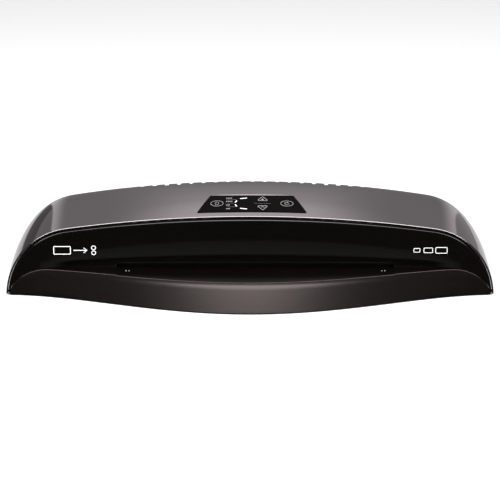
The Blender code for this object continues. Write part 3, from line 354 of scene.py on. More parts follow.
def carve(piece, cutter):
    """Takes the cutter's solid out of the piece and throws the cutter away."""
    work(piece, "BOOLEAN", operation="DIFFERENCE", solver="EXACT", object=cutter)
    bpy.data.objects.remove(cutter, do_unlink=True)
    return piece


def smooth(piece, angle=32):
    pick(piece)
    bpy.ops.object.shade_smooth_by_angle(angle=math.radians(angle))
    return piece


def fit(piece, material, body, slot, *replaced):
    """Gives a finished piece its material and its place in the machine."""
    piece.data.materials.clear()
    piece.data.materials.append(material)
    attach(piece, body)
    if replaced:
        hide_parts(*replaced)
    return piece


def plain_shader(name, colour, roughness, metallic=0.0):
    """A material with one Principled shader, and ways to add nodes and links to it."""
    made = bpy.data.materials.new(name)
    made.use_nodes = True
    made.node_tree.nodes.clear()
    link = made.node_tree.links.new

    def add(kind, **settings):
        node = made.node_tree.nodes.new(kind)
        for key, value in settings.items():
            setattr(node, key, value)
        return node

    shader = add("ShaderNodeBsdfPrincipled")
    out = add("ShaderNodeOutputMaterial")
    link(shader.outputs["BSDF"], out.inputs["Surface"])
    shader.inputs["Base Color"].default_value = (*colour, 1)
    shader.inputs["Roughness"].default_value = roughness
    shader.inputs["Metallic"].default_value = metallic
    return made, shader, add, link


def speckle(add, link, scale, detail=2.0):
    """Noise over the piece's own place in the machine; scale is in grains per metre."""
    where = add("ShaderNodeTexCoord")
    noise = add("ShaderNodeTexNoise")
    noise.inputs["Scale"].default_value = scale
    noise.inputs["Detail"].default_value = detail
    link(where.outputs["Object"], noise.inputs["Vector"])
    return noise.outputs["Fac"]


def spread(add, link, source, low, high, start=0.3, end=0.7):
    """Stretches a noise to run between two values."""
    stretch = add("ShaderNodeMapRange")
    stretch.inputs["From Min"].default_value = start
    stretch.inputs["From Max"].default_value = end
    stretch.inputs["To Min"].default_value = low
    stretch.inputs["To Max"].default_value = high
    link(source, stretch.inputs["Value"])
    return stretch.outputs["Result"]


def tint(add, link, source, dark, light):
    """Mixes two colours by a noise."""
    mix = add("ShaderNodeMix", data_type="RGBA")
    mix.inputs["A"].default_value = (*dark, 1)
    mix.inputs["B"].default_value = (*light, 1)
    link(spread(add, link, source, 0, 1), mix.inputs["Factor"])
    return mix.outputs["Result"]


def emboss(add, link, shader, source, strength, distance):
    bump = add("ShaderNodeBump")
    bump.inputs["Strength"].default_value = strength
    bump.inputs["Distance"].default_value = distance
    link(source, bump.inputs["Height"])
    link(bump.outputs["Normal"], shader.inputs["Normal"])


def gunmetal_paint():
    made, shader, add, link = plain_shader("gunmetal_paint", (0.22, 0.197, 0.205), 0.13, 1.0)
    flakes = speckle(add, link, 2600, 1)
    link(tint(add, link, flakes, (0.205, 0.183, 0.19), (0.235, 0.211, 0.219)), shader.inputs["Base Color"])
    peel = speckle(add, link, 260)
    link(spread(add, link, peel, 0.06, 0.09), shader.inputs["Roughness"])
    return made


PANEL_GAP = 0.35 * MM
RIM_DEPTH = 0.27 * MM
RIM_FLARE = 1.6
PANEL_X = 2.2 * MM
PANEL_FRONT_Y = -5.3 * MM
PANEL_REAR_Y = 21.5 * MM
PANEL_FRONT_HALF = 62.5 * MM
PANEL_REAR_HALF = 47 * MM
PANEL_MID_Y = (PANEL_FRONT_Y + PANEL_REAR_Y) / 2
PANEL_RISE = slope_height(0, PANEL_REAR_Y) - slope_height(0, PANEL_FRONT_Y)
PANEL_TILT = math.atan2(PANEL_RISE, PANEL_REAR_Y - PANEL_FRONT_Y)
PANEL_NORMAL = Vector((0, -math.sin(PANEL_TILT), math.cos(PANEL_TILT)))
PANEL_HALF_DEPTH = (PANEL_REAR_Y - PANEL_FRONT_Y) / 2 / math.cos(PANEL_TILT)


def on_panel(x, up, depth=0.0):
    """A place x right of the panel's middle and up its slope, sunk by depth below the cover's surface."""
    y = PANEL_MID_Y + up * math.cos(PANEL_TILT)
    world_x = PANEL_X + x
    return Vector((world_x, y, slope_height(world_x, y))) - PANEL_NORMAL * depth


def round_corners(corners, radius, steps=5):
    """An outline through the corners, each turned into an arc."""
    points = []
    count = len(corners)
    for i, corner in enumerate(corners):
        here = Vector(corner)
        before = (Vector(corners[i - 1]) - here).normalized()
        after = (Vector(corners[(i + 1) % count]) - here).normalized()
        half_angle = before.angle(after) / 2
        reach = radius / math.tan(half_angle)
        middle = here + (before + after).normalized() * radius / math.sin(half_angle)
        first = here + before * reach - middle
        last = here + after * reach - middle
        turn = first.angle_signed(last)
        for step in range(steps + 1):
            angle = -turn * step / steps
            points.append((middle.x + first.x * math.cos(angle) - first.y * math.sin(angle),
                           middle.y + first.x * math.sin(angle) + first.y * math.cos(angle)))
    return points


def lay(piece, place):
    """Puts each point of the active piece where place(x, y, z) says, and turns its faces outwards."""
    for vert in piece.data.vertices:
        vert.co = place(*vert.co)
    bpy.ops.object.mode_set(mode="EDIT")
    bpy.ops.mesh.select_all(action="SELECT")
    bpy.ops.mesh.normals_make_consistent(inside=False)
    bpy.ops.object.mode_set(mode="OBJECT")
    return piece


def plate(name, outline, place, low, high):
    """A flat-sided piece: its outline's (x, up) points are put in the machine by place(x, up, height)."""
    bpy.ops.object.select_all(action="DESELECT")
    bpy.ops.mesh.primitive_circle_add(vertices=len(outline), radius=1, fill_type="NGON")
    piece = bpy.context.object
    piece.name = name
    for vert, (x, up) in zip(piece.data.vertices, outline):
        vert.co = (x, up, low)
    bpy.ops.object.mode_set(mode="EDIT")
    bpy.ops.mesh.select_all(action="SELECT")
    bpy.ops.mesh.extrude_region_move(TRANSFORM_OT_translate={"value": (0, 0, high - low)})
    bpy.ops.object.mode_set(mode="OBJECT")
    return lay(piece, place)


def follow(outline, step=4 * MM):
    """The same outline with points added along its long edges, so that it can follow a curved surface."""
    points = []
    for i, corner in enumerate(outline):
        here, after = Vector(corner), Vector(outline[(i + 1) % len(outline)])
        parts = max(1, math.ceil((after - here).length / step))
        points += [tuple(here.lerp(after, part / parts)) for part in range(parts)]
    return points


def panel_outline(margin):
    corners = [(-PANEL_FRONT_HALF - margin, -PANEL_HALF_DEPTH - margin),
               (PANEL_FRONT_HALF + margin, -PANEL_HALF_DEPTH - margin),
               (PANEL_REAR_HALF + margin, PANEL_HALF_DEPTH + margin),
               (-PANEL_REAR_HALF - margin, PANEL_HALF_DEPTH + margin)]
    front = round_corners(corners, 1.0 * MM + margin)
    rear = round_corners(corners, 4.5 * MM + margin)
    half = len(front) // 2
    return front[:half] + rear[half:]


def over_panel(x, up, height):
    """Places a point over the panel; height is above the cover's surface."""
    return on_panel(x, up) + PANEL_NORMAL * height


def pocket_wall(x, up, height):
    """Places a point in the panel's tilted plane, straight through the cover's wall."""
    middle = on_panel(0, 0)
    sideways = Vector((x, 0, 0))
    along = Vector((0, math.cos(PANEL_TILT), math.sin(PANEL_TILT))) * up
    return middle + sideways + along + PANEL_NORMAL * height


def pocket_rim(x, up, height):
    """Follows the surface, flaring out as it rises, so that it cuts a shallow chamfer."""
    flare = RIM_FLARE * (height + RIM_DEPTH)
    return over_panel(x * (1 + flare / PANEL_FRONT_HALF), up * (1 + flare / PANEL_HALF_DEPTH), height)


def vent_placer(number):
    """Puts a point of a vent's outline on the rear roll of the cover."""
    middle = VENT_MIDDLE + VENT_PITCH * (number - (VENT_COUNT - 1) / 2)
    centre_y, centre_z = VENT_CENTRE

    def place(x, up, height):
        return Vector((middle + x, centre_y - up * math.cos(VENT_TILT) + height * math.sin(VENT_TILT),
                       centre_z + up * math.sin(VENT_TILT) + height * math.cos(VENT_TILT)))

    return place


cover = lay_grid("top_cover_shell", COVER_COLUMNS, COVER_ROWS - 1, cover_point)
thicken(cover, COVER_WALL)
carve(cover, plate("pocket_cutter", panel_outline(PANEL_GAP), pocket_wall, -12 * MM, 8 * MM))
carve(cover, plate("rim_cutter", follow(panel_outline(PANEL_GAP)), pocket_rim, -RIM_DEPTH, 3 * MM))
vent_outline = round_corners([(-VENT_HALF[0], -VENT_HALF[1]), (VENT_HALF[0], -VENT_HALF[1]),
                              (VENT_HALF[0], VENT_HALF[1]), (-VENT_HALF[0], VENT_HALF[1])], 2.2 * MM, 3)
for number in range(VENT_COUNT):
    carve(cover, plate("vent_cutter", vent_outline, vent_placer(number), -8 * MM, 8 * MM))
smooth(cover, 25)
fit(cover, gunmetal_paint(), "chassis", "gunmetal_plastic", "top_cover")


# Front fascia. A thin piano-black moulding that fills the arch under the lip, leaning back a little.
# It bulges slightly, and below a soft crease it turns in towards the pouch slot.
SHELF_HEIGHT = 32 * MM
SHELF_HALF = 228 * MM
WING_LENGTH = 48 * MM
THROAT_X = 6 * MM
SLOT_HALF = 158.5 * MM
SLOT_TOP = 37.7 * MM
SEAM = 0.45 * MM
FASCIA_FOOT = 4 * MM
FASCIA_INSET_TOP = 3.9 * MM
FASCIA_INSET_FOOT = 2.9 * MM
FASCIA_TOP_RADIUS = 2.0 * MM
FLANGE_GAP = 0.3 * MM                  # between the cover's wall and the flange tucked up behind its lip
FASCIA_LOW_RADIUS = 0.6 * MM
FASCIA_COLUMNS = 260
FASCIA_ROWS = 40
CREASE_HEIGHT = (48 * MM, 5.5 * MM)    # in the middle, and how much lower at CREASE_REACH
BAND_HEIGHT = (67 * MM, 13.3 * MM)
CREASE_REACH = 190 * MM
SLOW_TURN = (0.021, 0.0245)            # linear and squared shares of the turn between band and crease
TUCK_SLOPE = 0.2
ENDS_FLAT = (195 * MM, 250 * MM)       # the relief fades out between these distances from the middle


def ease(value, start, end):
    """0 before start, 1 after end, and a smooth step between."""
    t = min(1.0, max(0.0, (value - start) / (end - start)))
    return t * t * (3 - 2 * t)


def fascia_relief(x, z):
    """How far the face is behind its flat plane: it turns in slowly below the band, more below the crease."""
    droop = (x / CREASE_REACH) ** 2
    crease = CREASE_HEIGHT[0] - CREASE_HEIGHT[1] * droop
    band = BAND_HEIGHT[0] - BAND_HEIGHT[1] * droop
    t = min(1.0, max(0.0, (band - z) / (band - crease)))
    slow = (band - crease) * (SLOW_TURN[0] * t + SLOW_TURN[1] * t * t)
    tuck = max(0.0, crease - z) * TUCK_SLOPE
    return (slow + tuck) * (1 - ease(abs(x), *ENDS_FLAT))


def lower_edge(share):
    """(x, z) on the lower edge: over the slot, level beside it, then round the wing to the foot."""
    low = SHELF_HEIGHT + SEAM
    side = -1 if share < 0 else 1
    level_share = 0.72
    if abs(share) <= level_share:
        x = side * SHELF_HALF * abs(share) / level_share
        over_slot = abs(x - THROAT_X) < SLOT_HALF
        return x, SLOT_TOP if over_slot else low
    foot_angle = math.asin(FASCIA_FOOT / low)
    angle = math.pi / 2 - (math.pi / 2 - foot_angle) * (abs(share) - level_share) / (1 - level_share)
    return side * (SHELF_HALF + (WING_LENGTH + SEAM) * math.cos(angle)), low * math.sin(angle)


def fascia_point(u, v):
    share = 2 * u - 1
    low = Vector(lower_edge(share))
    inset = FASCIA_INSET_TOP + (FASCIA_INSET_FOOT - FASCIA_INSET_TOP) * abs(share)
    high = Vector(arch_point(share, inset, FASCIA_FOOT))
    reach = (high - low).length
    low_rows = roll_rows(min(FASCIA_LOW_RADIUS, 0.2 * reach), 0.6 * MM)
    high_rows = roll_rows(min(FASCIA_TOP_RADIUS, 0.3 * reach), 0.6 * MM)
    flange = inset - COVER_WALL - FLANGE_GAP
    high_rows.insert(0, (-flange, high_rows[0][1]))
    row = round(v * FASCIA_ROWS)
    left = FASCIA_ROWS - row
    if row < len(low_rows):
        along, back = low_rows[row]
    elif left < len(high_rows):
        along, back = high_rows[left]
        along = reach - along
    else:
        first, last = low_rows[-1][0], reach - high_rows[-1][0]
        step = (row - len(low_rows) + 1) / (FASCIA_ROWS - len(low_rows) - len(high_rows) + 2)
        along, back = first + (last - first) * step, 0
    x, z = low + (high - low).normalized() * along
    return Vector((x, FRONT_Y + math.tan(LEAN) * z + fascia_relief(x, z) + back, z))


def piano_black():
    made, shader, add, link = plain_shader("piano_black", (0.0012, 0.001, 0.0008), 0.05)
    haze = speckle(add, link, 55, 4)
    link(spread(add, link, haze, 0.04, 0.07), shader.inputs["Roughness"])
    shader.inputs["IOR"].default_value = 1.45
    return made


PIANO_BLACK = piano_black()
fascia = lay_grid("front_fascia_panel", FASCIA_COLUMNS, FASCIA_ROWS, fascia_point)
thicken(fascia, 2.0 * MM)
smooth(fascia, 40)
fit(fascia, PIANO_BLACK, "chassis", "piano_black", "front_fascia")


def printed_ink(name, level):
    made, shader, add, link = plain_shader(name, (level, level, level), 0.4)
    fleck = speckle(add, link, 2200, 2)
    thin, full = [(share * level,) * 3 for share in (0.9, 1.05)]
    link(tint(add, link, fleck, thin, full), shader.inputs["Base Color"])
    return made


INK_HEIGHT = 0.05 * MM


def ribbon(points, width, closed=False):
    """Outline pairs of a printed line: the points moved half the width to each side."""
    count = len(points)
    left, right = [], []
    for i in range(count):
        here = Vector(points[i])
        before = Vector(points[i - 1]) if i or closed else here
        after = Vector(points[(i + 1) % count]) if i < count - 1 or closed else here
        along = (after - before).normalized()
        side = Vector((-along.y, along.x)) * width / 2
        left.append(here + side)
        right.append(here - side)
    return left, right


def print_lines(name, lines, place, base_height):
    """Printed marks: each line is (points, width, closed), laid on a surface by place(x, up, height)."""
    shape = bmesh.new()
    for points, width, closed in lines:
        left, right = ribbon(points, width, closed)
        rings = []
        for one, other in zip(left, right):
            rings.append([shape.verts.new(place(one.x, one.y, base_height)),
                          shape.verts.new(place(other.x, other.y, base_height)),
                          shape.verts.new(place(other.x, other.y, base_height + INK_HEIGHT)),
                          shape.verts.new(place(one.x, one.y, base_height + INK_HEIGHT))])
        pairs = list(zip(rings, rings[1:]))
        if closed:
            pairs.append((rings[-1], rings[0]))
        for first, second in pairs:
            for a in range(4):
                b = (a + 1) % 4
                shape.faces.new((first[a], first[b], second[b], second[a]))
        if not closed:
            shape.faces.new(rings[0][::-1])
            shape.faces.new(rings[-1])
    bmesh.ops.recalc_face_normals(shape, faces=shape.faces)
    mesh = bpy.data.meshes.new(name)
    shape.to_mesh(mesh)
    shape.free()
    piece = bpy.data.objects.new(name, mesh)
    scene.collection.objects.link(piece)
    return piece


def arc(radius_x, radius_y, first, last, centre=(0, 0), steps=16):
    angles = [math.radians(first + (last - first) * i / steps) for i in range(steps + 1)]
    return [(centre[0] + radius_x * math.cos(a), centre[1] + radius_y * math.sin(a)) for a in angles]


def on_fascia(x, up, height):
    """Places a point over the fascia, up from the height the marks stand at."""
    z = MARK_HEIGHT + up
    return Vector((x, FRONT_Y + math.tan(LEAN) * z + fascia_relief(x, z) - height, z))


def sheet_mark(x, width, height, radius=0.8 * MM):
    corners = [(x - width / 2, -height / 2), (x + width / 2, -height / 2),
               (x + width / 2, height / 2), (x - width / 2, height / 2)]
    return round_corners(corners, radius, 3)


WHITE_INK = printed_ink("white_ink", 0.8)
MARK_HEIGHT = 53.9 * MM
MARK_LINE = 0.9 * MM
LEFT_MARK = -199.5 * MM
RIGHT_MARK = 205.5 * MM
ROLLER_X = LEFT_MARK + 21 * MM
ROLLER_RADIUS = 2.3 * MM
arrow_head = [(LEFT_MARK + 9.5 * MM, 3 * MM), (LEFT_MARK + 13.5 * MM, 0), (LEFT_MARK + 9.5 * MM, -3 * MM)]
fascia_lines = [(sheet_mark(LEFT_MARK - 15 * MM, 19 * MM, 9 * MM), MARK_LINE, True),
                (arc(ROLLER_RADIUS, ROLLER_RADIUS, 0, 337, (ROLLER_X, 3 * MM)), MARK_LINE, True),
                (arc(ROLLER_RADIUS, ROLLER_RADIUS, 0, 337, (ROLLER_X, -3 * MM)), MARK_LINE, True),
                ([(LEFT_MARK - 2 * MM, 0), (LEFT_MARK + 13 * MM, 0)], MARK_LINE, False),
                (arrow_head, MARK_LINE, False)]
for x, width, height in ((-15, 7, 4.4), (-2, 10, 5.6), (13, 13, 6.8)):
    fascia_lines.append((sheet_mark(RIGHT_MARK + x * MM, width * MM, height * MM), 0.7 * MM, True))
fascia_marks = print_lines("fascia_marks", fascia_lines, on_fascia, -0.01 * MM)
fit(fascia_marks, WHITE_INK, "chassis", "lens_white")


# Base shell. A deep charcoal moulding with a fine spark-eroded texture. Its shelf bows out in front to carry
# the pouch, with a shallow channel as wide as the slot.
BASE_BOTTOM = 1.2 * MM
BASE_HALF = 275.6 * MM
BASE_REAR_HALF = 261 * MM
BASE_REAR_Y = 69.2 * MM
BASE_REAR_LIP = 12 * MM
SHELF_REAR_Y = -15 * MM
BOW_DEPTH = 50 * MM
WALL_LEAN = 6.5 * MM
WALL_SLOPE = 0.25
CHANNEL_DEPTH = 0.8 * MM
SHELF_EDGE_RADIUS = 0.9 * MM
BASE_COLUMNS = 274


def bow_y(x):
    u = x / HALF_WIDTH
    return FRONT_Y - BOW_DEPTH + BOW_DEPTH * (2 * u ** 2 - u ** 4)


def shelf_height(x):
    past = max(0.0, abs(x) - SHELF_HALF) / WING_LENGTH
    level = SHELF_HEIGHT * math.sqrt(max(0.0, 1 - past * past))
    return level - CHANNEL_DEPTH if abs(x - THROAT_X) < SLOT_HALF else level


def base_stations(x):
    """The base's outer sheet at x, from the back of the shelf, over the rounded edge, down and under."""
    top = shelf_height(x)
    foot_y = bow_y(x)
    edge_y = foot_y + WALL_LEAN + WALL_SLOPE * (FRONT_Y + 1 * MM - foot_y)
    edge_y = min(edge_y, FRONT_Y + math.tan(LEAN) * top)
    rear = BASE_REAR_HALF / BASE_HALF
    radius = SHELF_EDGE_RADIUS
    stations = [(1, SHELF_REAR_Y, top), (1, (SHELF_REAR_Y + edge_y) / 2, top)]
    for step in range(6):
        angle = math.radians(78) * step / 5
        back, drop = radius * (1 - math.sin(angle)), radius * (1 - math.cos(angle))
        stations.append((1, edge_y + back, top - drop))
    for step in range(1, 8):
        share = step / 8
        stations.append((1, edge_y + (foot_y - edge_y) * share, top + (BASE_BOTTOM + 1 * MM - top) * share))
    stations += [(1, foot_y, BASE_BOTTOM + 1 * MM), (1, foot_y + 0.3 * MM, BASE_BOTTOM + 0.3 * MM),
                 (1, foot_y + 1 * MM, BASE_BOTTOM), (rear, BASE_REAR_Y, BASE_BOTTOM),
                 (rear, BASE_REAR_Y, BASE_REAR_LIP)]
    return stations


BASE_ROWS = len(base_stations(0)) - 1


def base_point(u, v):
    x = BASE_HALF * (1 - 2 * u)
    narrow, y, z = base_stations(x)[round(v * BASE_ROWS)]
    return Vector((x * narrow, y, z))


def textured_charcoal():
    made, shader, add, link = plain_shader("textured_charcoal", (0.002, 0.0014, 0.0012), 0.35)
    grain = speckle(add, link, 1500, 3)
    blotch = speckle(add, link, 20, 2)
    dark, light = (0.0018, 0.0012, 0.001), (0.0022, 0.0016, 0.0014)
    link(tint(add, link, blotch, dark, light), shader.inputs["Base Color"])
    link(spread(add, link, grain, 0.2, 0.27), shader.inputs["Roughness"])
    emboss(add, link, shader, grain, 0.15, 0.00003)
    shader.inputs["Specular Tint"].default_value = (1, 0.86, 0.83, 1)
    return made


CHARCOAL = textured_charcoal()
base = lay_grid("base_shell_moulding", BASE_COLUMNS, BASE_ROWS, base_point)
thicken(base, 2.4 * MM)
smooth(base, 40)
fit(base, CHARCOAL, "chassis", "charcoal_plastic", "base_shell")


def on_channel(x, up, height):
    return Vector((THROAT_X + x, TICK_Y + up, SHELF_HEIGHT - CHANNEL_DEPTH + height))


TICK_Y = -24 * MM
ticks = [([(x * MM, -1.3 * MM), (x * MM, 1.3 * MM)], 0.5 * MM, False) for x in (-147.7, -144.3, 144.7, 148.1)]
fit(print_lines("size_ticks", ticks, on_channel, -0.01 * MM), WHITE_INK, "chassis", "lens_white")


# Control panel. A piano-black lens let into the cover's slope, with four keys standing just proud of it,
# a light pipe showing as four bars, and white pad-printed marks.
BUTTON_GAP = 0.35 * MM
OVAL_HALF = (7.5 * MM, 4.9 * MM)
OVAL_OFFSET = 40 * MM
ARROW_X = 12.2 * MM
ARROW_HALF = 6.9 * MM
ARROW_HEIGHT = 6.9 * MM
ARROW_MIDDLE = 7.4 * MM
ARC_X = -7.6 * MM
ARC_RADII = (11.5 * MM, 8.8 * MM)
LONG_BAR = (4.1 * MM, 0.5 * MM)
SHORT_BAR = (1.9 * MM, 0.62 * MM)
BARS = [(math.radians(angle), half) for angle, half in
        ((100, LONG_BAR), (158, SHORT_BAR), (202, SHORT_BAR), (260, LONG_BAR))]
BAR_GAP = 0.12 * MM
LENS_SINK = 0.2 * MM


def oval(margin=0.0):
    half_x, half_up = OVAL_HALF[0] + margin, OVAL_HALF[1] + margin
    turns = [math.tau * i / 48 for i in range(48)]
    return [(half_x * math.cos(turn), half_up * math.sin(turn)) for turn in turns]


def arrow(pointing, margin=0.0):
    half = ARROW_HALF + 1.9 * margin
    tall = ARROW_HEIGHT / 2 + margin
    corners = [(-half, -tall), (half, -tall), (0, tall + 0.8 * MM)]
    return [(x, y * pointing) for x, y in round_corners(corners, 0.9 * MM)][::pointing]


KEYS = {
    "power": (oval, (-OVAL_OFFSET, 0)),
    "reverse": (oval, (OVAL_OFFSET, 0)),
    "up": (lambda margin=0.0: arrow(1, margin), (ARROW_X, ARROW_MIDDLE)),
    "down": (lambda margin=0.0: arrow(-1, margin), (ARROW_X, -ARROW_MIDDLE)),
}


def shifted(place, x0, up0):
    return lambda x, up, height: place(x + x0, up + up0, height)


def bar_outline(angle, half, margin):
    centre = Vector((ARC_RADII[0] * math.cos(angle), ARC_RADII[1] * math.sin(angle)))
    along = math.atan2(ARC_RADII[1] * math.cos(angle), -ARC_RADII[0] * math.sin(angle))
    half_length, half_width = half[0] + margin, half[1] + margin
    corners = [(-half_length, -half_width), (half_length, -half_width), (half_length, half_width),
               (-half_length, half_width)]
    turned = [(centre.x + x * math.cos(along) - y * math.sin(along),
               centre.y + x * math.sin(along) + y * math.cos(along)) for x, y in corners]
    return round_corners(turned, 0.35 * MM, 3)


def lens_point(u, v):
    y = PANEL_FRONT_Y + (PANEL_REAR_Y - PANEL_FRONT_Y) * v
    half = PANEL_FRONT_HALF + (PANEL_REAR_HALF - PANEL_FRONT_HALF) * v
    across = 2 * u - 1
    corner = max(0.0, v - 0.82) / 0.18
    x = PANEL_X + half * across * (1 - 0.035 * corner ** 2)
    return Vector((x, y, slope_height(x, y))) - PANEL_NORMAL * LENS_SINK


def smoked_lens():
    made, shader, add, link = plain_shader("smoked_lens", (0.0016, 0.0011, 0.001), 0.25)
    haze = speckle(add, link, 240, 3)
    link(spread(add, link, haze, 0.2, 0.3), shader.inputs["Roughness"])
    shader.inputs["Specular IOR Level"].default_value = 0.04
    return made


SMOKED_LENS = smoked_lens()
lens = lay_grid("control_panel_lens", 60, 16, lens_point)
thicken(lens, 2 * MM)
round_edges(lens, 0.25 * MM, 2, 50)
for name, (outline, (x, up)) in KEYS.items():
    carve(lens, plate("key_cutter", outline(BUTTON_GAP), shifted(over_panel, x, up), -6 * MM, 4 * MM))
for angle, half in BARS:
    bar_edge = bar_outline(angle, half, BAR_GAP)
    carve(lens, plate("bar_cutter", bar_edge, shifted(over_panel, ARC_X, 0), -6 * MM, 4 * MM))
smooth(lens)
fit(lens, SMOKED_LENS, "chassis", "piano_black", "control_panel")


def satin_black():
    made, shader, add, link = plain_shader("satin_black", (0.002, 0.0015, 0.0014), 0.2)
    touch = speckle(add, link, 300, 3)
    link(spread(add, link, touch, 0.16, 0.27), shader.inputs["Roughness"])
    emboss(add, link, shader, speckle(add, link, 1800, 1), 0.05, 0.00003)
    shader.inputs["Specular IOR Level"].default_value = 0.05
    return made


def frosted_pipe():
    made, shader, add, link = plain_shader("frosted_pipe", (0.85, 0.85, 0.84), 0.35)
    cloud = speckle(add, link, 700, 2)
    link(tint(add, link, cloud, (0.78, 0.78, 0.77), (0.9, 0.9, 0.9)), shader.inputs["Base Color"])
    shader.inputs["Emission Color"].default_value = (1, 1, 1, 1)
    shader.inputs["Emission Strength"].default_value = 0.25
    return made


SATIN_BLACK = satin_black()
GREY_INK = printed_ink("grey_ink", 0.4)
LINE = 0.34 * MM
KEY_MARKS = {
    "power": [(oval(-0.4 * MM), 0.36 * MM, True), (arc(2.1 * MM, 2.1 * MM, 125, 415), LINE, False),
              ([(0, 0.3 * MM), (0, 2.8 * MM)], LINE, False)],
    "reverse": [(oval(-0.4 * MM), 0.36 * MM, True), (arc(2.4 * MM, 2.0 * MM, 60, 300), LINE, False),
                ([(0.2 * MM, 2.9 * MM), (1.5 * MM, 1.8 * MM), (0.3 * MM, 0.8 * MM)], LINE, False),
                ([(2.2 * MM, -2.2 * MM), (2.2 * MM, 0.4 * MM)], LINE, False)],
    "up": [(arrow(1, -0.3 * MM), 0.42 * MM, True),
           (arc(0.9 * MM, 0.9 * MM, 0, 345, (0, -1.1 * MM)), 0.6 * MM, True)],
    "down": [(arrow(-1, -0.3 * MM), 0.42 * MM, True),
             (arc(1.7 * MM, 1.0 * MM, 0, 180, (0, 0.3 * MM)), 0.4 * MM, False)],
}
KEY_TOP = 0.25 * MM
for name, (outline, (x, up)) in KEYS.items():
    key_place = shifted(over_panel, x, up)
    key = plate(name + "_key_cap", outline(), key_place, -3.4 * MM, KEY_TOP)
    round_edges(key, 0.22 * MM, 3, 50)
    smooth(key)
    fit(key, SATIN_BLACK, name + "_key", "button_black", name + "_button")
    marks = print_lines(name + "_key_marks", KEY_MARKS[name], key_place, KEY_TOP - 0.01 * MM)
    fit(marks, GREY_INK, name + "_key", "lens_white")

FROSTED_PIPE = frosted_pipe()
for number, (angle, half) in enumerate(BARS, 1):
    bar_edge = bar_outline(angle, half, 0)
    bar = plate(f"indicator_bar_{number}", bar_edge, shifted(over_panel, ARC_X, 0), -2.6 * MM, -0.05 * MM)
    round_edges(bar, 0.12 * MM, 2, 50)
    smooth(bar)
    fit(bar, FROSTED_PIPE, "chassis", "lens_white", *(["indicator_light_pipe"] if number == 1 else []))

panel_lines = [([(ARROW_X - 9.5 * MM, 0.0), (ARROW_X + 9.5 * MM, 0.0)], 0.1 * MM, False)]
LABEL_X = -29.5 * MM
for row, (up, length) in enumerate([(9.2, 7.2), (3.6, 7.6), (-2.6, 4.6), (-8.6, 4.8)]):
    for dash in range(4):
        start = LABEL_X + dash * length / 4 * MM
        panel_lines.append(([(start, up * MM), (start + length / 4 * 0.7 * MM, up * MM)], 0.9 * MM, False))
for up, bar_end in ((6.6, 0.5), (0.6, -1.6), (-5.6, 0.2)):
    panel_lines.append(([(LABEL_X, up * MM), (LABEL_X + (11 + bar_end) * MM, up * MM)], 0.1 * MM, False))
legends = print_lines("panel_marks", panel_lines, over_panel, -LENS_SINK - 0.01 * MM)
fit(legends, GREY_INK, "chassis", "lens_white")


# Rear panel. A flat charcoal moulding under the cover's rear edge, with the exit slot and a row of vents.
PANEL_FACE_Y = 69.6 * MM
REAR_PANEL_THICKNESS = 2.4 * MM
REAR_PANEL_INSET = 3.2 * MM
REAR_PANEL_RISE = 62 / 93.8
SWITCH = (-222 * MM, 20 * MM)
GLAND = (238 * MM, 22 * MM)
GLAND_NECK = 6.3 * MM
CLEAR = 0.3 * MM
REAR_VENTS = 12
REAR_VENT_PITCH = 14 * MM


def on_rear(x, up, height):
    """Places a point on the rear panel: height is outward from its inner face."""
    return Vector((x, PANEL_FACE_Y + height, up))


def rounded_box(centre, half_x, half_up, radius):
    x, up = centre
    corners = [(x - half_x, up - half_up), (x + half_x, up - half_up),
               (x + half_x, up + half_up), (x - half_x, up + half_up)]
    return round_corners(corners, radius, 4)


def ring_outline(centre, radius, count=40):
    turns = [math.tau * i / count for i in range(count)]
    return [(centre[0] + radius * math.cos(turn), centre[1] + radius * math.sin(turn)) for turn in turns]


arch = []
for i in range(41):
    x, z = arch_point(i / 40)
    arch.append((x * (1 - REAR_TAPER) - REAR_PANEL_INSET * i / 40, max(z * REAR_PANEL_RISE, 2 * MM)))
rear_outline = [(-x, z) for x, z in arch[:0:-1]] + arch
rear = plate("rear_panel_moulding", rear_outline, on_rear, 0, REAR_PANEL_THICKNESS)
exit_middle = (THROAT_X, (SHELF_HEIGHT + SLOT_TOP) / 2 + CLEAR)
openings = [rounded_box(exit_middle, SLOT_HALF, (SLOT_TOP - SHELF_HEIGHT) / 2, 1.5 * MM),
            rounded_box(SWITCH, 9.5 * MM + CLEAR, 7 * MM + CLEAR, 1 * MM), ring_outline(GLAND, GLAND_NECK)]
for i in range(REAR_VENTS):
    vent_x = THROAT_X + REAR_VENT_PITCH * (i - (REAR_VENTS - 1) / 2)
    openings.append(rounded_box((vent_x, 20 * MM), 2 * MM, 6 * MM, 1.9 * MM))
for outline in openings:
    carve(rear, plate("rear_cutter", outline, on_rear, -4 * MM, 6 * MM))
round_edges(rear, 0.35 * MM, 2, 50)
smooth(rear, 20)
fit(rear, CHARCOAL, "chassis", "charcoal_plastic", "rear_panel")


# Mains switch. A black housing snapped into the rear panel, with a rocker marked with a bar and a ring.
HOUSING_FACE = 2.7 * MM
ROCKER_TURN = math.radians(-8)
ROCKER_HALF = 7.7 * MM
ROCKER_EDGE = [(-2.5, -3.4), (2.5, -3.4), (5, -1), (5, 2.7), (0, 1.8), (-5, 2.7), (-5, -1)]


def on_rocker(x, up, outward):
    """Places a point on the rocker, turned to its resting side about its pin."""
    turned_up = up * math.cos(ROCKER_TURN) - outward * math.sin(ROCKER_TURN)
    turned_out = up * math.sin(ROCKER_TURN) + outward * math.cos(ROCKER_TURN)
    return on_rear(SWITCH[0] + x, SWITCH[1] + turned_up, HOUSING_FACE - 2 * MM + turned_out)


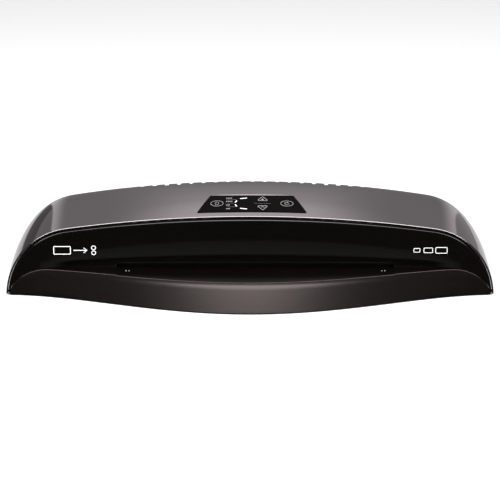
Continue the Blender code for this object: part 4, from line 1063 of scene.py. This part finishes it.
housing = plate("switch_frame", rounded_box(SWITCH, 11.5 * MM, 9 * MM, 1.6 * MM), on_rear, HOUSING_FACE,
                HOUSING_FACE + 1.4 * MM)
shank = plate("switch_shank", rounded_box(SWITCH, 9.5 * MM, 7 * MM, 0.8 * MM), on_rear, -11.6 * MM,
              HOUSING_FACE + 0.5 * MM)
work(housing, "BOOLEAN", operation="UNION", solver="EXACT", object=shank)
bpy.data.objects.remove(shank, do_unlink=True)
carve(housing, plate("switch_cutter", rounded_box(SWITCH, 8 * MM, 6 * MM, 0.6 * MM), on_rear,
                     HOUSING_FACE - 8 * MM, 8 * MM))
round_edges(housing, 0.4 * MM, 3, 50)
smooth(housing)
fit(housing, SATIN_BLACK, "chassis", "button_black", "switch_housing")


def turned(name, profile, place):
    """A turned piece: (radius, along) points swept round an axis, then placed by place(x, y, along)."""
    bpy.ops.object.select_all(action="DESELECT")
    bpy.ops.mesh.primitive_circle_add(vertices=len(profile), radius=1, fill_type="NOTHING")
    piece = bpy.context.object
    piece.name = name
    for vert, (radius, along) in zip(piece.data.vertices, profile):
        vert.co = (radius, 0, along)
    work(piece, "SCREW", axis="Z", steps=48, render_steps=48, angle=math.tau, use_merge_vertices=True,
         merge_threshold=0.00001)
    return smooth(lay(piece, place), 40)


rocker_edge = round_corners([(up * MM, out * MM) for up, out in ROCKER_EDGE], 0.5 * MM, 3)
rocker = plate("switch_rocker_cap", rocker_edge, lambda up, out, x: on_rocker(x, up, out),
               -ROCKER_HALF, ROCKER_HALF)
round_edges(rocker, 0.35 * MM, 3, 50)
smooth(rocker)
fit(rocker, SATIN_BLACK, "mains_rocker", "button_black", "switch_rocker")
pin_profile = [(0.01, -8.7), (0.8, -8.7), (1, -8.5), (1, 8.5), (0.8, 8.7), (0.01, 8.7)]
pin = turned("rocker_pin", [(r * MM, a * MM) for r, a in pin_profile],
             lambda x, y, along: on_rocker(along, x, y))
fit(pin, SATIN_BLACK, "mains_rocker", "button_black")


def on_rocker_face(x, up, height):
    return on_rocker(x, up, 1.8 * MM + 0.18 * abs(up) + height)


rocker_marks = print_lines("rocker_marks", [([(0, -3.6 * MM), (0, -1.4 * MM)], 0.4 * MM, False),
                                            (arc(1.1 * MM, 1.1 * MM, 0, 337, (0, 2.5 * MM)), 0.4 * MM, True)],
                           on_rocker_face, -0.01 * MM)
fit(rocker_marks, WHITE_INK, "mains_rocker", "lens_white")


# Cord gland and feet. Moulded black rubber, turned shapes: the gland grips the rear panel by a groove, and
# each foot is pressed into a shallow recess under the base.
def black_rubber():
    made, shader, add, link = plain_shader("black_rubber", (0.02, 0.02, 0.02), 0.8)
    dust = speckle(add, link, 240, 4)
    link(tint(add, link, dust, (0.015, 0.015, 0.015), (0.032, 0.031, 0.03)), shader.inputs["Base Color"])
    emboss(add, link, shader, speckle(add, link, 1600, 2), 0.3, 0.00006)
    return made


def in_gland(x, y, along):
    return on_rear(GLAND[0] + x, GLAND[1] + y, along)


BLACK_RUBBER = black_rubber()
gland_profile = [(3.6, -4), (6, -4), (6, 2.7), (8.5, 2.7), (8.5, 4.1), (8.2, 4.6), (7.6, 4.7), (4.2, 4.7),
                 (3.6, 4.2)]
gland = turned("cord_gland_bush", [(r * MM, a * MM) for r, a in gland_profile], in_gland)
fit(gland, BLACK_RUBBER, "chassis", "black_rubber", "cord_gland")
foot_profile = [(0.01, 0), (6.9, 0), (7.4, 0.2), (7.8, 0.6), (8, 1.1), (8, 1.9), (0.01, 1.9)]
for number, (x0, y0) in enumerate([(-150, -36), (150, -36), (-225, 52), (225, 52)], 1):
    foot = turned(f"rubber_foot_{number}", [(r * MM, a * MM) for r, a in foot_profile],
                  lambda x, y, along: Vector((x0 * MM + x, y0 * MM + y, along)))
    fit(foot, BLACK_RUBBER, "chassis", "black_rubber", f"foot_{number}")


# Pressure springs. Music-wire coils between the sliding bearing blocks and seats on the side plates. Each
# coil is made once to fill its part's box and stays fixed to the chassis.
SPRING_WIRE = 0.6 * MM
SPRING_TURNS = 5
STEPS_IN_TURN = 24


def music_wire():
    made, shader, add, link = plain_shader("music_wire", (0.45, 0.45, 0.46), 0.25, 1.0)
    draw = speckle(add, link, 800, 2)
    link(tint(add, link, draw, (0.38, 0.38, 0.39), (0.5, 0.5, 0.51)), shader.inputs["Base Color"])
    link(spread(add, link, draw, 0.2, 0.32), shader.inputs["Roughness"])
    return made


def coil_spring(name, node):
    """A coil that fills the box of its CAD node, with its end turns lying flat."""
    low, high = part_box(node)
    middle = (low + high) / 2
    radius = (high.x - low.x) / 2 - SPRING_WIRE
    count = SPRING_TURNS * STEPS_IN_TURN
    curve = bpy.data.curves.new(name, "CURVE")
    curve.dimensions = "3D"
    curve.bevel_depth = SPRING_WIRE
    curve.bevel_resolution = 3
    curve.use_fill_caps = True
    wire = curve.splines.new("POLY")
    wire.points.add(count)
    for step, point in enumerate(wire.points):
        angle = math.tau * step / STEPS_IN_TURN
        rise = low.z + SPRING_WIRE + (high.z - low.z - 2 * SPRING_WIRE) * ease(step / count, 0.0, 1.0)
        point.co = (middle.x + radius * math.cos(angle), middle.y + radius * math.sin(angle), rise, 1)
    piece = bpy.data.objects.new(name, curve)
    scene.collection.objects.link(piece)
    pick(piece)
    bpy.ops.object.convert(target="MESH")
    return smooth(bpy.context.object, 60)


MUSIC_WIRE = music_wire()
for joint, nodes in {"hot_float": ("hot_spring_left", "hot_spring_right"),
                     "pull_float": ("pull_spring_left", "pull_spring_right")}.items():
    for node in nodes:
        coil = coil_spring(node + "_coil", node)
        fit(coil, MUSIC_WIRE, "chassis", "bright_steel", node)
        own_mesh(coil)


# Inner machine. Zinc-plated sheet, ground rods, silicone sleeves on the rollers, nylon gears and bushes.
# Little of it shows but through the slots, so each part keeps its own shape and gets its own finish.
def plated_sheet():
    made, shader, add, link = plain_shader("plated_sheet", (0.5, 0.5, 0.52), 0.35, 1.0)
    spangle = speckle(add, link, 160, 3)
    link(tint(add, link, spangle, (0.42, 0.43, 0.45), (0.56, 0.56, 0.58)), shader.inputs["Base Color"])
    link(spread(add, link, spangle, 0.28, 0.42), shader.inputs["Roughness"])
    return made


def ground_rod():
    made, shader, add, link = plain_shader("ground_rod", (0.6, 0.6, 0.62), 0.2, 1.0)
    polish = speckle(add, link, 900, 2)
    link(spread(add, link, polish, 0.14, 0.28), shader.inputs["Roughness"])
    emboss(add, link, shader, polish, 0.05, 0.00003)
    return made


def extruded_aluminium():
    made, shader, add, link = plain_shader("extruded_aluminium", (0.7, 0.7, 0.72), 0.35, 1.0)
    streak = speckle(add, link, 420, 4)
    link(tint(add, link, streak, (0.62, 0.62, 0.64), (0.76, 0.76, 0.78)), shader.inputs["Base Color"])
    link(spread(add, link, streak, 0.3, 0.45), shader.inputs["Roughness"])
    return made


def dark_silicone():
    made, shader, add, link = plain_shader("dark_silicone", (0.03, 0.03, 0.032), 0.55)
    grind = speckle(add, link, 1400, 3)
    link(tint(add, link, grind, (0.024, 0.024, 0.026), (0.036, 0.036, 0.038)), shader.inputs["Base Color"])
    emboss(add, link, shader, grind, 0.15, 0.00005)
    return made


def natural_nylon():
    made, shader, add, link = plain_shader("natural_nylon", (0.75, 0.73, 0.66), 0.5)
    milk = speckle(add, link, 130, 3)
    link(tint(add, link, milk, (0.7, 0.68, 0.6), (0.79, 0.77, 0.7)), shader.inputs["Base Color"])
    shader.inputs["Subsurface Weight"].default_value = 0.08
    return made


def green_board():
    made, shader, add, link = plain_shader("green_board", (0.02, 0.12, 0.05), 0.35)
    tracks = speckle(add, link, 380, 1)
    link(tint(add, link, tracks, (0.012, 0.085, 0.035), (0.03, 0.16, 0.07)), shader.inputs["Base Color"])
    emboss(add, link, shader, tracks, 0.2, 0.00005)
    return made


FINISHES = {
    "sheet_steel": plated_sheet(),
    "bright_steel": ground_rod(),
    "shoe_aluminium": extruded_aluminium(),
    "silicone": dark_silicone(),
    "nylon": natural_nylon(),
    "circuit_board": green_board(),
    "black_rubber": BLACK_RUBBER,
    "button_black": SATIN_BLACK,
    "charcoal_plastic": CHARCOAL,
    "piano_black": PIANO_BLACK,
    "gunmetal_plastic": bpy.data.materials["gunmetal_paint"],
    "lens_white": FROSTED_PIPE,
}
for part in frame["record"]["subparts"]:
    node = frame["nodes"][part["node"]]
    node.data.materials.clear()
    node.data.materials.append(FINISHES[part["material_slot"]])
